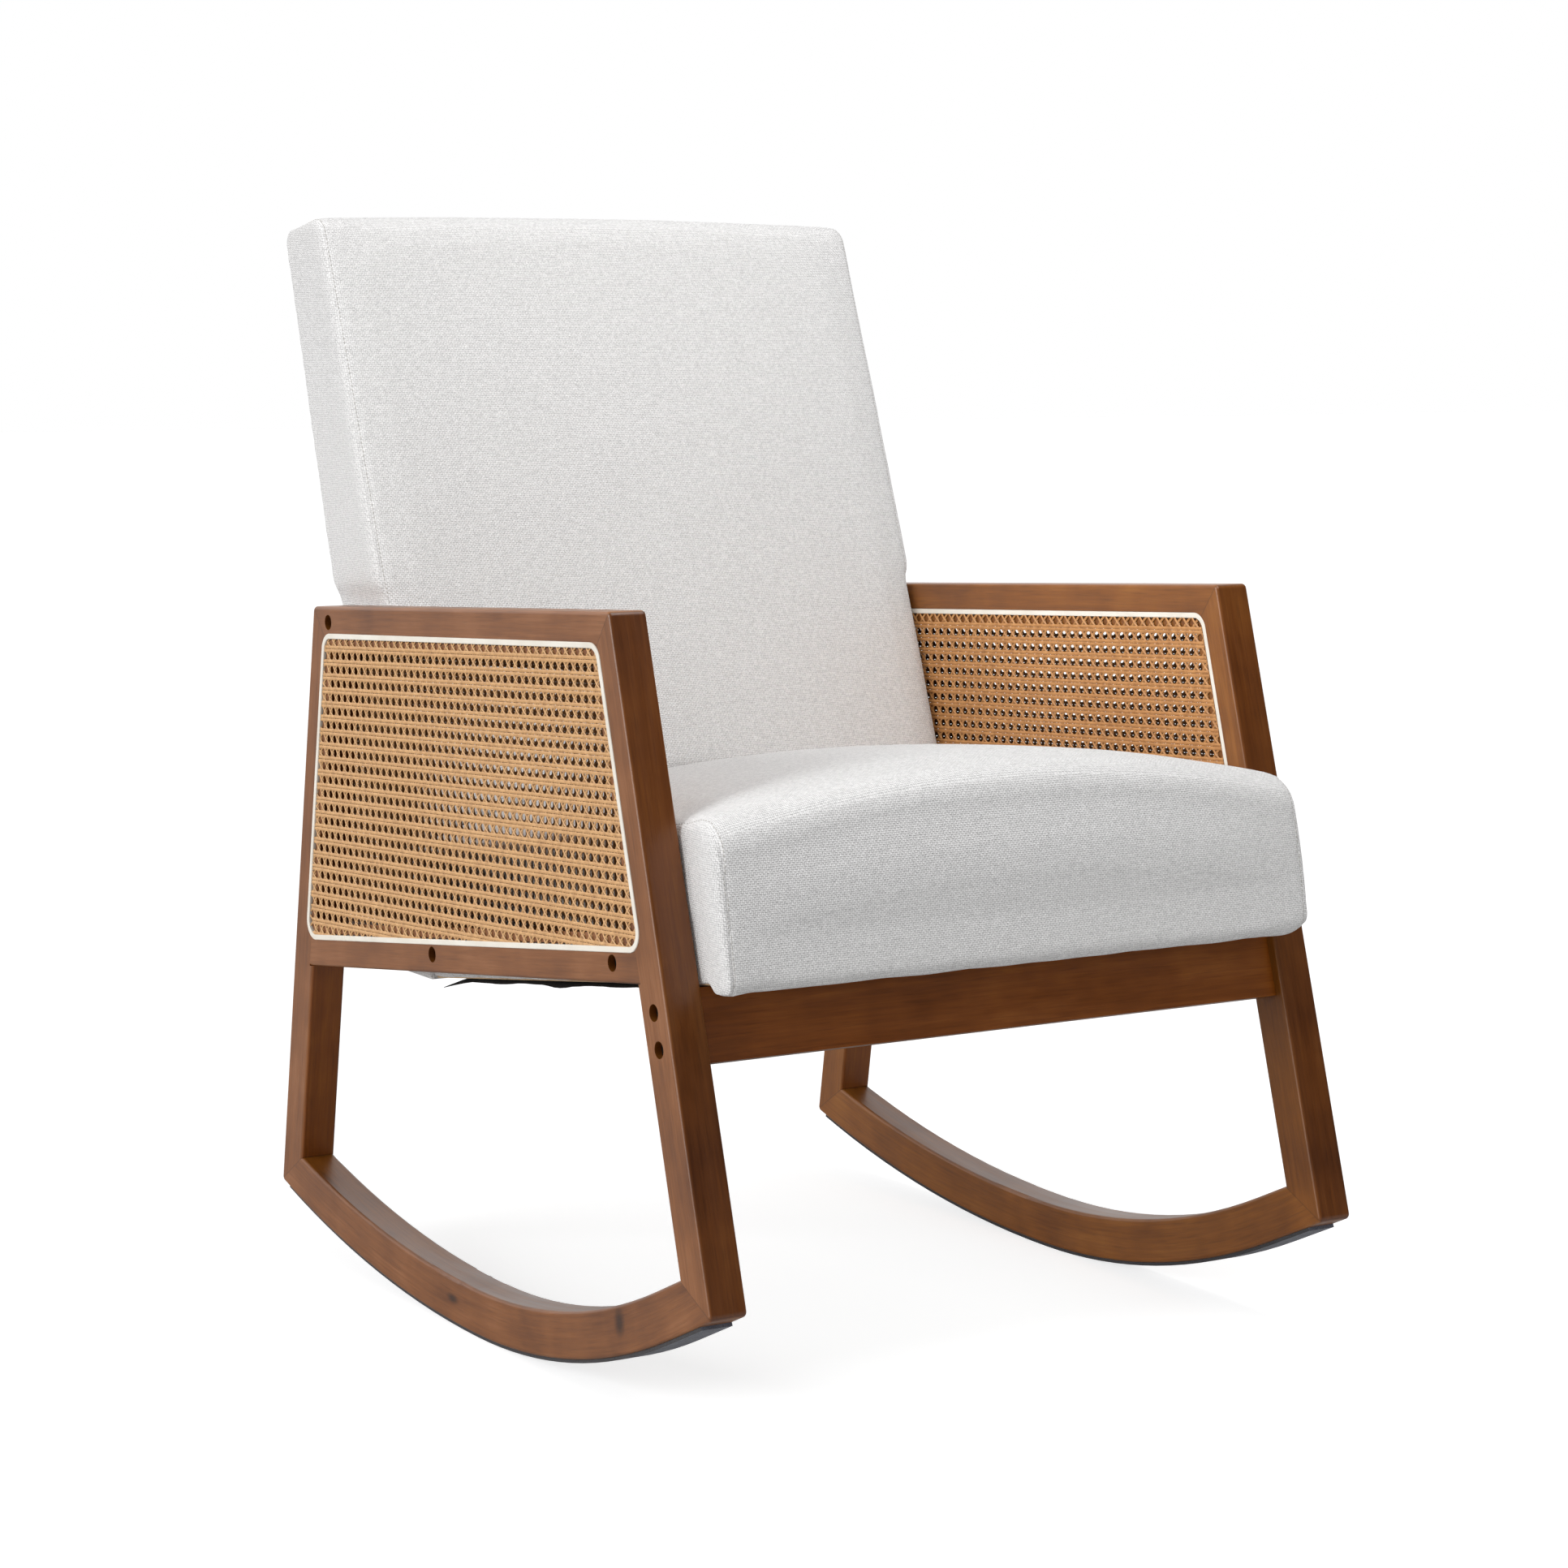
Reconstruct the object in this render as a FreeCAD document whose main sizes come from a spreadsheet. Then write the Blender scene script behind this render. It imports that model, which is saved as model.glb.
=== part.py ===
"""Upholstered rocking chair: two mitred side frames with cane panels on curved runners,
joined by a front apron, a boxed seat and a boxed, reclined back."""
import FreeCAD, Part
import math
import os

from FreeCAD import Vector

# Driving sizes, in millimetres and degrees
SIZES = {
    # the chair as a whole: the contact is where the runners touch the floor at rest
    "overall_width": 640.0,
    "frame_depth": 34.0,
    "member_width": 40.0,
    "edge_radius": 3.0,
    "corner_radius": 5.0,
    "contact_place": -15.5,
    # arm: the front top corner of a side frame, seen from the side
    "arm_corner_ahead": 247.0,
    "arm_corner_height": 645.0,
    "arm_length": 560.5,
    "arm_slope": 3.1,
    "front_lean": 16.1,
    "rear_lean": 9.4,
    # middle rail: the height of its lower edge above the contact
    "rail_height": 318.3,
    "rail_slope": 7.0,
    "rail_housing": 5.0,
    # runner: one long arc behind the contact, a tighter one and a straight end ahead of it
    "rear_radius": 1460.0,
    "front_radius": 795.0,
    "front_sweep": 24.6,
    "felt_thickness": 3.0,
    "felt_inset": 3.0,
    "felt_front_end": 22.0,
    "felt_rear_end": 12.0,
    # loose tenons in the joints of a side frame
    "tenon_length": 16.0,
    "tenon_width": 20.0,
    "tenon_thickness": 8.0,
    "fit_clearance": 0.1,
    # cane panels and the reed splines that hold them in their grooves
    "cane_border": 24.5,
    "cane_corner_radius": 17.0,
    "cane_thickness": 1.5,
    "cane_tuck": 1.0,
    "cane_gap": 23.0,
    "cane_gap_pitch": 38.1,
    "cane_gap_corner": 6.0,
    "cane_land": 3.0,
    "spline_width": 5.0,
    "spline_proud": 1.0,
    "spline_round": 0.9,
    "groove_depth": 6.0,
    # bolts, sunk in round recesses
    "bolt_diameter": 8.0,
    "bolt_length": 50.0,
    "head_diameter": 13.0,
    "head_height": 6.0,
    "recess_diameter": 14.0,
    "recess_depth": 12.0,
    "arm_bolt_from_rear": 33.7,
    "arm_bolt_from_top": 14.5,
    "rail_bolt_from_bottom": 16.0,
    "rear_rail_bolt_behind": 74.5,
    "front_rail_bolt_behind_edge": 75.7,
    "post_bolt_spacing": 29.3,
    # apron
    "apron_setback": 10.0,
    "apron_thickness": 20.0,
    "apron_height": 60.0,
    # seat: a padded box, lower at the back
    "soft_clearance": 0.3,
    "cover_thickness": 5.0,
    "seam_bulge": 1.5,
    "seat_base_drop": 7.8,
    "seat_slope": 7.8,
    "seat_side_height": 125.5,
    "seat_top_slope": 8.8,
    "seat_front_ahead": 379.0,
    "seat_front_lean": 9.8,
    "seat_crown": 57.0,
    "seat_front_bulge": 5.0,
    "seat_nose_radius": 30.0,
    "seat_front_radius": 6.0,
    "seat_rear_radius": 15.0,
    "seat_nose_padding": 12.0,
    "seat_rail_height": 50.0,
    "seat_rail_thickness": 28.0,
    "deck_thickness": 12.0,
    "dust_cover_thickness": 1.5,
    "dust_cover_inset": 12.0,
    # back: a padded box that leans, thinner at the top, with a bare tail behind the seat
    "back_face_behind": 241.5,
    "back_depth": 98.0,
    "back_lean": 20.0,
    "back_rear_lean": 17.2,
    "back_corner_height": 966.0,
    "back_top_slope": 12.0,
    "back_bottom_drop": 30.8,
    "back_foam": 34.5,
    "back_crown": 12.0,
    "back_top_crown": 7.0,
    "back_seat_gap": 1.0,
    "back_front_radius": 22.0,
    "back_rear_radius": 14.0,
    "back_low_radius": 10.0,
    "back_tail_radius": 20.0,
    "back_top_foam": 30.0,
    "back_stile_width": 22.0,
    "back_rail_height": 45.0,
    "back_rail_thickness": 20.0,
    "back_cover_thickness": 1.5,
    # what a cut runs past the wood
    "overrun": 30.0,
}

# Shares of a soft part's half width where its sections are drawn
SECTION_SHARES = (-1.0, -0.6, 0.0, 0.6, 1.0)
# Shares of the full crown that are left at the two ends of the seat and of the back
SEAT_CROWN_SHARES = (0.57, 0.86)
BACK_CROWN_SHARES = (0.6, 0.5)

doc = FreeCAD.newDocument("rocking_chair")
sheet = doc.addObject("Spreadsheet::Sheet", "Sizes")
for line, (alias, number) in enumerate(SIZES.items(), start=1):
    sheet.set(f"A{line}", alias)
    sheet.set(f"B{line}", str(number))
    sheet.setAlias(f"B{line}", alias)
doc.recompute()


def size(alias):
    """The value of one named size."""
    return float(sheet.get(alias))


# Side view: the X of a point is the chair's Y, towards the back, and its Y is the height.
# Outlines run clockwise, so that their inner side is the right-hand side of every edge.


def ray(point, angle):
    """An endless edge: a point on it and its direction, in degrees above level."""
    turn = math.radians(angle)
    return point, Vector(math.cos(turn), math.sin(turn), 0)


def inside(edge, offset):
    """The same edge, moved inwards."""
    point, along = edge
    return point + Vector(along.y, -along.x, 0) * offset, along


def below(edge, point):
    """Whether a point lies on the inner side of an edge."""
    start, along = edge
    return (point - start).dot(Vector(along.y, -along.x, 0)) > 0


def turned(edge):
    """The same edge, run the other way."""
    point, along = edge
    return point, -along


def crossing(first, second):
    """The point where two endless edges meet."""
    point, along = first
    other, across = second
    reach = (other - point).cross(across).z / along.cross(across).z
    return point + along * reach


def on_circle(edge, centre, radius):
    """The lower of the two points where an endless edge meets a circle."""
    point, along = edge
    nearest = point + along * (centre - point).dot(along)
    half = math.sqrt(radius ** 2 - (nearest - centre).Length ** 2)
    return min((nearest + along * half, nearest - along * half), key=lambda end: end.y)


def under(centre, radius, angle):
    """The point of a circle that lies an angle behind its lowest point, in degrees."""
    turn = math.radians(angle)
    return centre + Vector(math.sin(turn), -math.cos(turn), 0) * radius


def angle_under(centre, point):
    """How far behind the lowest point of a circle a point lies, in degrees."""
    return math.degrees(math.atan2(point.x - centre.x, centre.y - point.y))


class Corner:
    """A rounded corner: its arc's start, quarter, middle, third quarter and end."""

    def __init__(self, before, corner, after, radius):
        back = (before - corner).normalize()
        on = (after - corner).normalize()
        half = back.getAngle(on) / 2
        centre = corner + (back + on).normalize() * (radius / math.sin(half))
        self.start = corner + back * (radius / math.tan(half))
        self.end = corner + on * (radius / math.tan(half))
        self.middle = centre + (corner - centre).normalize() * radius
        self.early = centre + (self.start + self.middle - centre * 2).normalize() * radius
        self.late = centre + (self.end + self.middle - centre * 2).normalize() * radius


def run(start, *steps):
    """An open run of edges: a step is the next point, or an arc's middle and end."""
    edges = []
    here = start
    for step in steps:
        if isinstance(step, tuple):
            edges.append(Part.Arc(here, *step))
            here = step[-1]
        else:
            edges.append(Part.LineSegment(here, step))
            here = step
    return edges


def polygon(*corners):
    """A closed outline of straight edges."""
    return run(corners[-1], *corners)


def rounded(corners, radius):
    """A closed outline whose corners are all rounded alike."""
    count = len(corners)
    turns = [Corner(corners[i - 1], corners[i], corners[(i + 1) % count], radius) for i in range(count)]
    steps = []
    for turn in turns:
        steps += [turn.start, (turn.middle, turn.end)]
    return run(turns[-1].end, *steps)


def between(front, top, rear, bottom):
    """The four-sided outline between four endless edges."""
    return polygon(crossing(bottom, front), crossing(front, top), crossing(top, rear), crossing(rear, bottom))


def ring(centre, diameter):
    """A round outline."""
    return [Part.Circle(centre, Vector(0, 0, 1), diameter / 2)]


def bowed(start, end, rise):
    """The middle of an arc that rises outwards between two points."""
    along = (end - start).normalize()
    return (start + end) / 2 + Vector(-along.y, along.x, 0) * rise


def leaving(start, end, rise):
    """A point ahead of the start of such an arc, along its tangent there."""
    chord = end - start
    turn = 2 * math.atan(2 * rise / chord.Length)
    return start + Vector(
        chord.x * math.cos(turn) - chord.y * math.sin(turn),
        chord.x * math.sin(turn) + chord.y * math.cos(turn),
        0,
    )


# Building: every piece is an outline of the side view that runs some way along X


def new_body(name):
    """An empty body for one sub-part."""
    body = doc.addObject("PartDesign::Body", name)
    body.Label = name
    return body


def sketch(body, name, outline, place):
    """A sketch of the side view, at a place along X that an expression gives."""
    drawing = body.newObject("Sketcher::SketchObject", f"{body.Name}_{name}_sketch")
    plane = next(feature for feature in body.Origin.OriginFeatures if feature.Role == "YZ_Plane")
    drawing.AttachmentSupport = (plane, "")
    drawing.MapMode = "FlatFace"
    drawing.setExpression(".AttachmentOffset.Base.z", place)
    drawing.addGeometry(outline, False)
    return drawing


def add(body, name, outline, place, length):
    """Wood or foam from an outline, from a place along X and over a length."""
    pad = body.newObject("PartDesign::Pad", f"{body.Name}_{name}")
    pad.Profile = sketch(body, name, outline, place)
    pad.setExpression("Length", length)
    pad.Refine = False
    return pad


def cut(body, name, outline, place, length):
    """A cut into a body, from a place along X and over a length; it has to take something away."""
    doc.recompute()
    before = body.Shape.Volume
    pocket = body.newObject("PartDesign::Pocket", f"{body.Name}_{name}")
    pocket.Profile = sketch(body, name, outline, place)
    pocket.Reversed = True
    pocket.setExpression("Length", length)
    pocket.Refine = False
    doc.recompute()
    if body.Shape.Volume >= before:
        raise ValueError(f"{pocket.Name} cuts nothing")
    return pocket


def soften(body, edges, radius):
    """Rounds the long edges that these outline edges leave on both faces of a body."""
    doc.recompute()
    shape = body.Shape
    faces = (shape.BoundBox.XMin, shape.BoundBox.XMax)
    middles = []
    for edge in edges:
        middle = edge.value((edge.FirstParameter + edge.LastParameter) / 2)
        middles += [Vector(face, middle.x, middle.y) for face in faces]
    chosen = []
    for number, edge in enumerate(shape.Edges, start=1):
        middle = edge.valueAt((edge.FirstParameter + edge.LastParameter) / 2)
        if any(middle.isEqual(target, size("fit_clearance")) for target in middles):
            chosen.append(f"Edge{number}")
    blank = body.Tip
    fillet = body.newObject("PartDesign::Fillet", f"{body.Name}_round")
    fillet.Base = (blank, chosen)
    fillet.setExpression("Radius", f"Sizes.{radius}")
    return fillet


def across(side, near, far):
    """A place and a length along X, from two depths below the outer face of one side frame."""
    if side < 0:
        return f"-Sizes.overall_width / 2 + ({near})", f"({far}) - ({near})"
    return f"Sizes.overall_width / 2 - ({far})", f"({far}) - ({near})"


def centred(half):
    """A place and a length along X for a piece that reaches equally far to both sides."""
    return f"-({half})", f"2 * ({half})"


# Side view of a side frame: its outer edges, clockwise

contact = Vector(size("contact_place"), size("felt_thickness"), 0)
front_top = Vector(size("contact_place") - size("arm_corner_ahead"), size("arm_corner_height"), 0)
top_edge = ray(front_top, -size("arm_slope"))
rear_top = front_top + top_edge[1] * size("arm_length")
rear_edge = ray(rear_top, size("rear_lean") - 90)
front_edge = ray(front_top, 90 - size("front_lean"))
rear_centre = contact + Vector(0, size("rear_radius"), 0)
front_centre = contact + Vector(0, size("front_radius"), 0)
toe_start = under(front_centre, size("front_radius"), -size("front_sweep"))
toe_edge = ray(toe_start, 180 - size("front_sweep"))
front_foot = crossing(toe_edge, front_edge)
rear_foot = on_circle(rear_edge, rear_centre, size("rear_radius"))
rail_edge = ray(Vector(size("contact_place"), size("rail_height"), 0), 180 - size("rail_slope"))

width = size("member_width")
inner_front_foot = crossing(inside(toe_edge, width), inside(front_edge, width))
inner_rear_foot = on_circle(inside(rear_edge, width), rear_centre, size("rear_radius") - width)
rear_foot_tangent = ray(rear_foot, 180 + angle_under(rear_centre, rear_foot))

eased = size("corner_radius")
front_top_corner = Corner(front_foot, front_top, rear_top, eased)
rear_top_corner = Corner(front_top, rear_top, rear_foot, eased)
rear_foot_corner = Corner(rear_top, rear_foot, rear_foot + rear_foot_tangent[1] * width, eased)
rear_foot_corner.end = under(
    rear_centre, size("rear_radius"), angle_under(rear_centre, rear_foot_corner.end)
)
front_foot_corner = Corner(toe_start, front_foot, front_top, eased)


def panel_corners(inset):
    """The corners of the cane panel's opening, inset from the outer edges of its four members."""
    edges = [inside(edge, inset) for edge in (front_edge, top_edge, rear_edge, rail_edge)]
    return [crossing(edges[i - 1], edges[i]) for i in range(len(edges))]


def panel_outline(depth):
    """A rounded outline of the cane panel, moved in from the outer side of its spline."""
    return rounded(panel_corners(size("cane_border") + depth), size("cane_corner_radius") - depth)


window = panel_corners(width)
lower_front, upper_front, upper_rear, lower_rear = window
groove_width = size("spline_width") + size("cane_tuck")

# Places of the bolts in the side view
arm_bolt_line = inside(top_edge, size("arm_bolt_from_top"))
arm_bolt = crossing(arm_bolt_line, inside(rear_edge, size("arm_bolt_from_rear")))
bolt_line = inside(rail_edge, size("rail_bolt_from_bottom"))
rear_rail_bolt = crossing(bolt_line, ray(contact + Vector(size("rear_rail_bolt_behind"), 0, 0), 90))
front_rail_bolt = crossing(bolt_line, inside(front_edge, size("front_rail_bolt_behind_edge")))

# Seat box in the side view; its underside is a little below the middle rails
seat_base_point = Vector(size("contact_place"), size("rail_height") - size("seat_base_drop"), 0)
seat_base = ray(seat_base_point, 180 - size("seat_slope"))
seat_corner = crossing(seat_base, ray(contact - Vector(size("seat_front_ahead"), 0, 0), 90))
seat_front = ray(seat_corner, 90 - size("seat_front_lean"))


def seat_top(lift):
    """The seat's top edge at its sides, lifted by some of the crown."""
    return ray(seat_base_point + Vector(0, size("seat_side_height") + lift, 0), -size("seat_top_slope"))


# Back box in the side view
back_face = Vector(size("contact_place") + size("back_face_behind"), size("arm_corner_height"), 0)
back_front = ray(back_face, 90 - size("back_lean"))
back_rear = turned(ray(back_face + Vector(size("back_depth"), 0, 0), 90 - size("back_rear_lean")))
back_bottom_point = Vector(size("contact_place"), size("rail_height") - size("back_bottom_drop"), 0)
back_bottom = ray(back_bottom_point, 180)
back_corner = crossing(back_front, ray(Vector(0, size("back_corner_height"), 0), 0))
tail_front = inside(back_front, size("back_foam"))
seat_rear = inside(turned(tail_front), size("soft_clearance"))


def back_top(lift):
    """The back's top edge at its sides, lifted by some of the crown."""
    return ray(back_corner + Vector(0, lift, 0), -size("back_top_slope"))


# Apron in the side view: it hangs below the seat and leans with the posts
apron_front = inside(front_edge, size("apron_setback"))
apron_rear = inside(apron_front, size("apron_thickness"))
apron_top_edge = inside(seat_base, -size("dust_cover_thickness") - size("soft_clearance"))
apron_top = crossing(apron_front, apron_top_edge)
apron_low = apron_top - front_edge[1] * size("apron_height")
apron_bottom = ray(apron_low, 180 - size("front_lean"))
apron_middle = crossing(
    inside(apron_front, size("apron_thickness") / 2),
    ray((apron_top + apron_low) / 2, 180 - size("front_lean")),
)
upper_post_bolt = apron_middle + front_edge[1] * (size("post_bolt_spacing") / 2)
lower_post_bolt = apron_middle - front_edge[1] * (size("post_bolt_spacing") / 2)


# Side frame members


def front_post(name, side):
    """Front post: mitred at both ends, housed for the middle rail."""
    housing = inside(front_edge, width - size("rail_housing"))
    low = crossing(rail_edge, inside(front_edge, width))
    outer = run(
        front_foot_corner.middle,
        (front_foot_corner.late, front_foot_corner.end),
        front_top_corner.start,
        (front_top_corner.early, front_top_corner.middle),
    )
    upper = run(
        front_top_corner.middle,
        upper_front,
        lower_front,
        crossing(inside(rail_edge, width), housing),
        crossing(rail_edge, housing),
        low,
    )
    lower = run(low, inner_front_foot)
    mitre = run(inner_front_foot, front_foot_corner.middle)
    body = new_body(name)
    add(body, "blank", outer + upper + lower + mitre, *across(side, "0", "Sizes.frame_depth"))
    soften(body, outer + lower, "edge_radius")
    return body


def rear_post(name, side):
    """Rear post: mitred at both ends, housed for the middle rail."""
    housing = inside(rear_edge, width - size("rail_housing"))
    low = crossing(rail_edge, inside(rear_edge, width))
    outer = run(
        rear_top_corner.middle,
        (rear_top_corner.late, rear_top_corner.end),
        rear_foot_corner.start,
        (rear_foot_corner.early, rear_foot_corner.middle),
    )
    mitre = run(rear_foot_corner.middle, inner_rear_foot)
    lower = run(inner_rear_foot, low)
    upper = run(
        low,
        crossing(rail_edge, housing),
        crossing(inside(rail_edge, width), housing),
        lower_rear,
        upper_rear,
        rear_top_corner.middle,
    )
    body = new_body(name)
    add(body, "blank", outer + mitre + lower + upper, *across(side, "0", "Sizes.frame_depth"))
    soften(body, outer + lower, "edge_radius")
    return body


def top_rail(name, side):
    """Top rail, the arm: mitred to both posts."""
    outer = run(
        front_top_corner.middle,
        (front_top_corner.late, front_top_corner.end),
        rear_top_corner.start,
        (rear_top_corner.early, rear_top_corner.middle),
    )
    inner = run(rear_top_corner.middle, upper_rear, upper_front, front_top_corner.middle)
    body = new_body(name)
    add(body, "blank", outer + inner, *across(side, "0", "Sizes.frame_depth"))
    soften(body, outer, "edge_radius")
    return body


def middle_rail(name, side):
    """Middle rail: its ends are housed in the posts."""
    deep = width - size("rail_housing")
    front_low = crossing(rail_edge, inside(front_edge, deep))
    rear_low = crossing(rail_edge, inside(rear_edge, deep))
    front_high = crossing(inside(rail_edge, width), inside(front_edge, deep))
    rear_high = crossing(inside(rail_edge, width), inside(rear_edge, deep))
    lower = run(rear_low, front_low)
    upper = run(front_low, front_high, rear_high, rear_low)
    body = new_body(name)
    add(body, "blank", lower + upper, *across(side, "0", "Sizes.frame_depth"))
    soften(body, lower, "edge_radius")
    return body


def runner(name, side):
    """Runner: a long rear arc, a tighter front arc and a straight toe, mitred to both posts."""
    rear_half = angle_under(rear_centre, rear_foot) / 2
    front_half = -size("front_sweep") / 2
    inner_toe = under(front_centre, size("front_radius") - width, 2 * front_half)
    inner_low = contact + Vector(0, width, 0)
    outer = run(
        rear_foot_corner.middle,
        (rear_foot_corner.late, rear_foot_corner.end),
        (under(rear_centre, size("rear_radius"), rear_half), contact),
        (under(front_centre, size("front_radius"), front_half), toe_start),
        front_foot_corner.start,
        (front_foot_corner.early, front_foot_corner.middle),
    )
    mitre = run(front_foot_corner.middle, inner_front_foot)
    inner = run(
        inner_front_foot,
        inner_toe,
        (under(front_centre, size("front_radius") - width, front_half), inner_low),
        (under(rear_centre, size("rear_radius") - width, rear_half), inner_rear_foot),
    )
    last = run(inner_rear_foot, rear_foot_corner.middle)
    body = new_body(name)
    add(body, "blank", outer + mitre + inner + last, *across(side, "0", "Sizes.frame_depth"))
    soften(body, outer + inner, "edge_radius")
    return body


def felt(name, side):
    """Felt strip under the runner, short of both feet and of both faces."""
    thickness = size("felt_thickness")
    toe_end = front_foot - toe_edge[1] * size("felt_front_end")
    heel = angle_under(rear_centre, rear_foot + rear_foot_tangent[1] * size("felt_rear_end"))
    outer_toe = inside(toe_edge, -thickness)[0]
    outline = run(
        under(rear_centre, size("rear_radius"), heel),
        under(rear_centre, size("rear_radius") + thickness, heel),
        (
            under(rear_centre, size("rear_radius") + thickness, heel / 2),
            contact - Vector(0, thickness, 0),
        ),
        (under(front_centre, size("front_radius") + thickness, -size("front_sweep") / 2), outer_toe),
        toe_end + (outer_toe - toe_start),
        toe_end,
        toe_start,
        (under(front_centre, size("front_radius"), -size("front_sweep") / 2), contact),
        (
            under(rear_centre, size("rear_radius"), heel / 2),
            under(rear_centre, size("rear_radius"), heel),
        ),
    )
    body = new_body(name)
    add(body, "strip", outline, *across(side, "Sizes.felt_inset", "Sizes.frame_depth - Sizes.felt_inset"))
    return body


def cut_panel_seat(body, side):
    """The groove for the spline and the lowered lip for the cane, on both faces of a member."""
    faces = {
        "outer": across(side, "0", "Sizes.cane_thickness") + across(side, "0", "Sizes.groove_depth"),
        "inner": across(side, "Sizes.frame_depth - Sizes.cane_thickness", "Sizes.frame_depth")
        + across(side, "Sizes.frame_depth - Sizes.groove_depth", "Sizes.frame_depth"),
    }
    for face, (lip_place, lip_depth, groove_place, groove_depth) in faces.items():
        cut(body, f"{face}_lip", panel_outline(0), lip_place, lip_depth)
        groove = panel_outline(0) + panel_outline(groove_width)
        cut(body, f"{face}_groove", groove, groove_place, groove_depth)


def cane_gaps():
    """Eight-sided gaps of the cane, in rows along the arm, as many as fit within the window."""
    along = top_edge[1]
    down = Vector(along.y, -along.x, 0)
    pitch = size("cane_gap_pitch")
    half = size("cane_gap") / 2
    short = half - size("cane_gap_corner")
    shape = [(-half, -short), (-short, -half), (short, -half), (half, -short)]
    shape += [(-x, -y) for x, y in shape]
    land = size("cane_land")
    edges = [inside(edge, width + land) for edge in (front_edge, top_edge, rear_edge, rail_edge)]
    start = crossing(edges[0], edges[1]) + (along + down) * half
    reach = (size("arm_length") + size("arm_corner_height")) / pitch
    gaps = []
    for row in range(int(reach)):
        for column in range(-int(reach), int(reach)):
            centre = start + (along * column + down * row) * pitch
            corners = [centre + along * x + down * y for x, y in shape]
            if all(below(edge, corner) for edge in edges for corner in corners):
                gaps += polygon(*corners)
    return gaps


def cane_panel(name, place, tuck_place):
    """A sheet of cane with its edge tucked down into the groove."""
    body = new_body(name)
    add(body, "tuck", panel_outline(size("spline_width")) + panel_outline(groove_width), *tuck_place)
    add(body, "sheet", panel_outline(size("spline_width")) + cane_gaps(), *place)
    return body


def cane_spline(name, place, outer_face):
    """A reed spline that fills the groove outside the cane and stands a little proud."""
    outline = panel_outline(size("fit_clearance")) + panel_outline(size("spline_width"))
    body = new_body(name)
    add(body, "reed", outline, *place)
    doc.recompute()
    shape = body.Shape
    proud = shape.BoundBox.XMin if outer_face < 0 else shape.BoundBox.XMax
    chosen = [
        f"Edge{number}"
        for number, edge in enumerate(shape.Edges, start=1)
        if all(abs(vertex.X - proud) < size("fit_clearance") for vertex in edge.Vertexes)
    ]
    blank = body.Tip
    fillet = body.newObject("PartDesign::Fillet", f"{name}_round")
    fillet.Base = (blank, chosen)
    fillet.setExpression("Radius", "Sizes.spline_round")
    return body


def tenon_outline(outer, inner, play):
    """A loose tenon in the middle of a joint that runs between two points."""
    along = (inner - outer).normalize()
    out = Vector(-along.y, along.x, 0)
    middle = (outer + inner) / 2
    half_width = along * (size("tenon_width") / 2 + play)
    half_length = out * (size("tenon_length") / 2 + play)
    return polygon(
        middle - half_width - half_length,
        middle - half_width + half_length,
        middle + half_width + half_length,
        middle + half_width - half_length,
    )


def joint_lines():
    """The six joints of a side frame: the two members and the two ends of each joint line."""
    housed_front = inside(front_edge, width - size("rail_housing"))
    housed_rear = inside(rear_edge, width - size("rail_housing"))
    rail_top_edge = inside(rail_edge, width)
    return {
        "front_top": ("front_post", "top_rail", front_top, upper_front),
        "rear_top": ("rear_post", "top_rail", rear_top, upper_rear),
        "front_foot": ("front_post", "runner", front_foot, inner_front_foot),
        "rear_foot": ("rear_post", "runner", rear_foot, inner_rear_foot),
        "front_rail": (
            "front_post",
            "middle_rail",
            crossing(rail_edge, housed_front),
            crossing(rail_top_edge, housed_front),
        ),
        "rear_rail": (
            "rear_post",
            "middle_rail",
            crossing(rail_edge, housed_rear),
            crossing(rail_top_edge, housed_rear),
        ),
    }


def bolt(name, side, centre):
    """A bolt along X: a round head in its recess and a shank into the piece between the frames."""
    seat_depth = "Sizes.recess_depth"
    body = new_body(name)
    add(body, "head", ring(centre, size("head_diameter")),
        *across(side, f"{seat_depth} - Sizes.head_height", seat_depth))
    add(body, "shank", ring(centre, size("bolt_diameter")),
        *across(side, seat_depth, f"{seat_depth} + Sizes.bolt_length"))
    return body


def bore_member(body, name, side, centre):
    """The recess and the hole for a bolt through a side frame member."""
    cut(body, f"{name}_recess", ring(centre, size("recess_diameter")),
        *across(side, "0", "Sizes.recess_depth"))
    cut(body, f"{name}_hole", ring(centre, size("bolt_diameter") + 2 * size("fit_clearance")),
        *across(side, "Sizes.recess_depth", "Sizes.frame_depth"))


def bore_inner(body, name, side, centre):
    """The hole for a bolt in a piece between the side frames."""
    cut(body, name, ring(centre, size("bolt_diameter") + 2 * size("fit_clearance")),
        *across(side, "Sizes.frame_depth",
                "Sizes.recess_depth + Sizes.bolt_length + Sizes.fit_clearance"))


# Side frames

MEMBERS = {
    "front_post": front_post,
    "rear_post": rear_post,
    "top_rail": top_rail,
    "middle_rail": middle_rail,
    "runner": runner,
}
BOLTS = {
    "arm_bolt": ("top_rail", arm_bolt),
    "rear_rail_bolt": ("middle_rail", rear_rail_bolt),
    "front_rail_bolt": ("middle_rail", front_rail_bolt),
    "upper_post_bolt": ("front_post", upper_post_bolt),
    "lower_post_bolt": ("front_post", lower_post_bolt),
}
SIDES = {"left": -1, "right": 1}
parts = []

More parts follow.
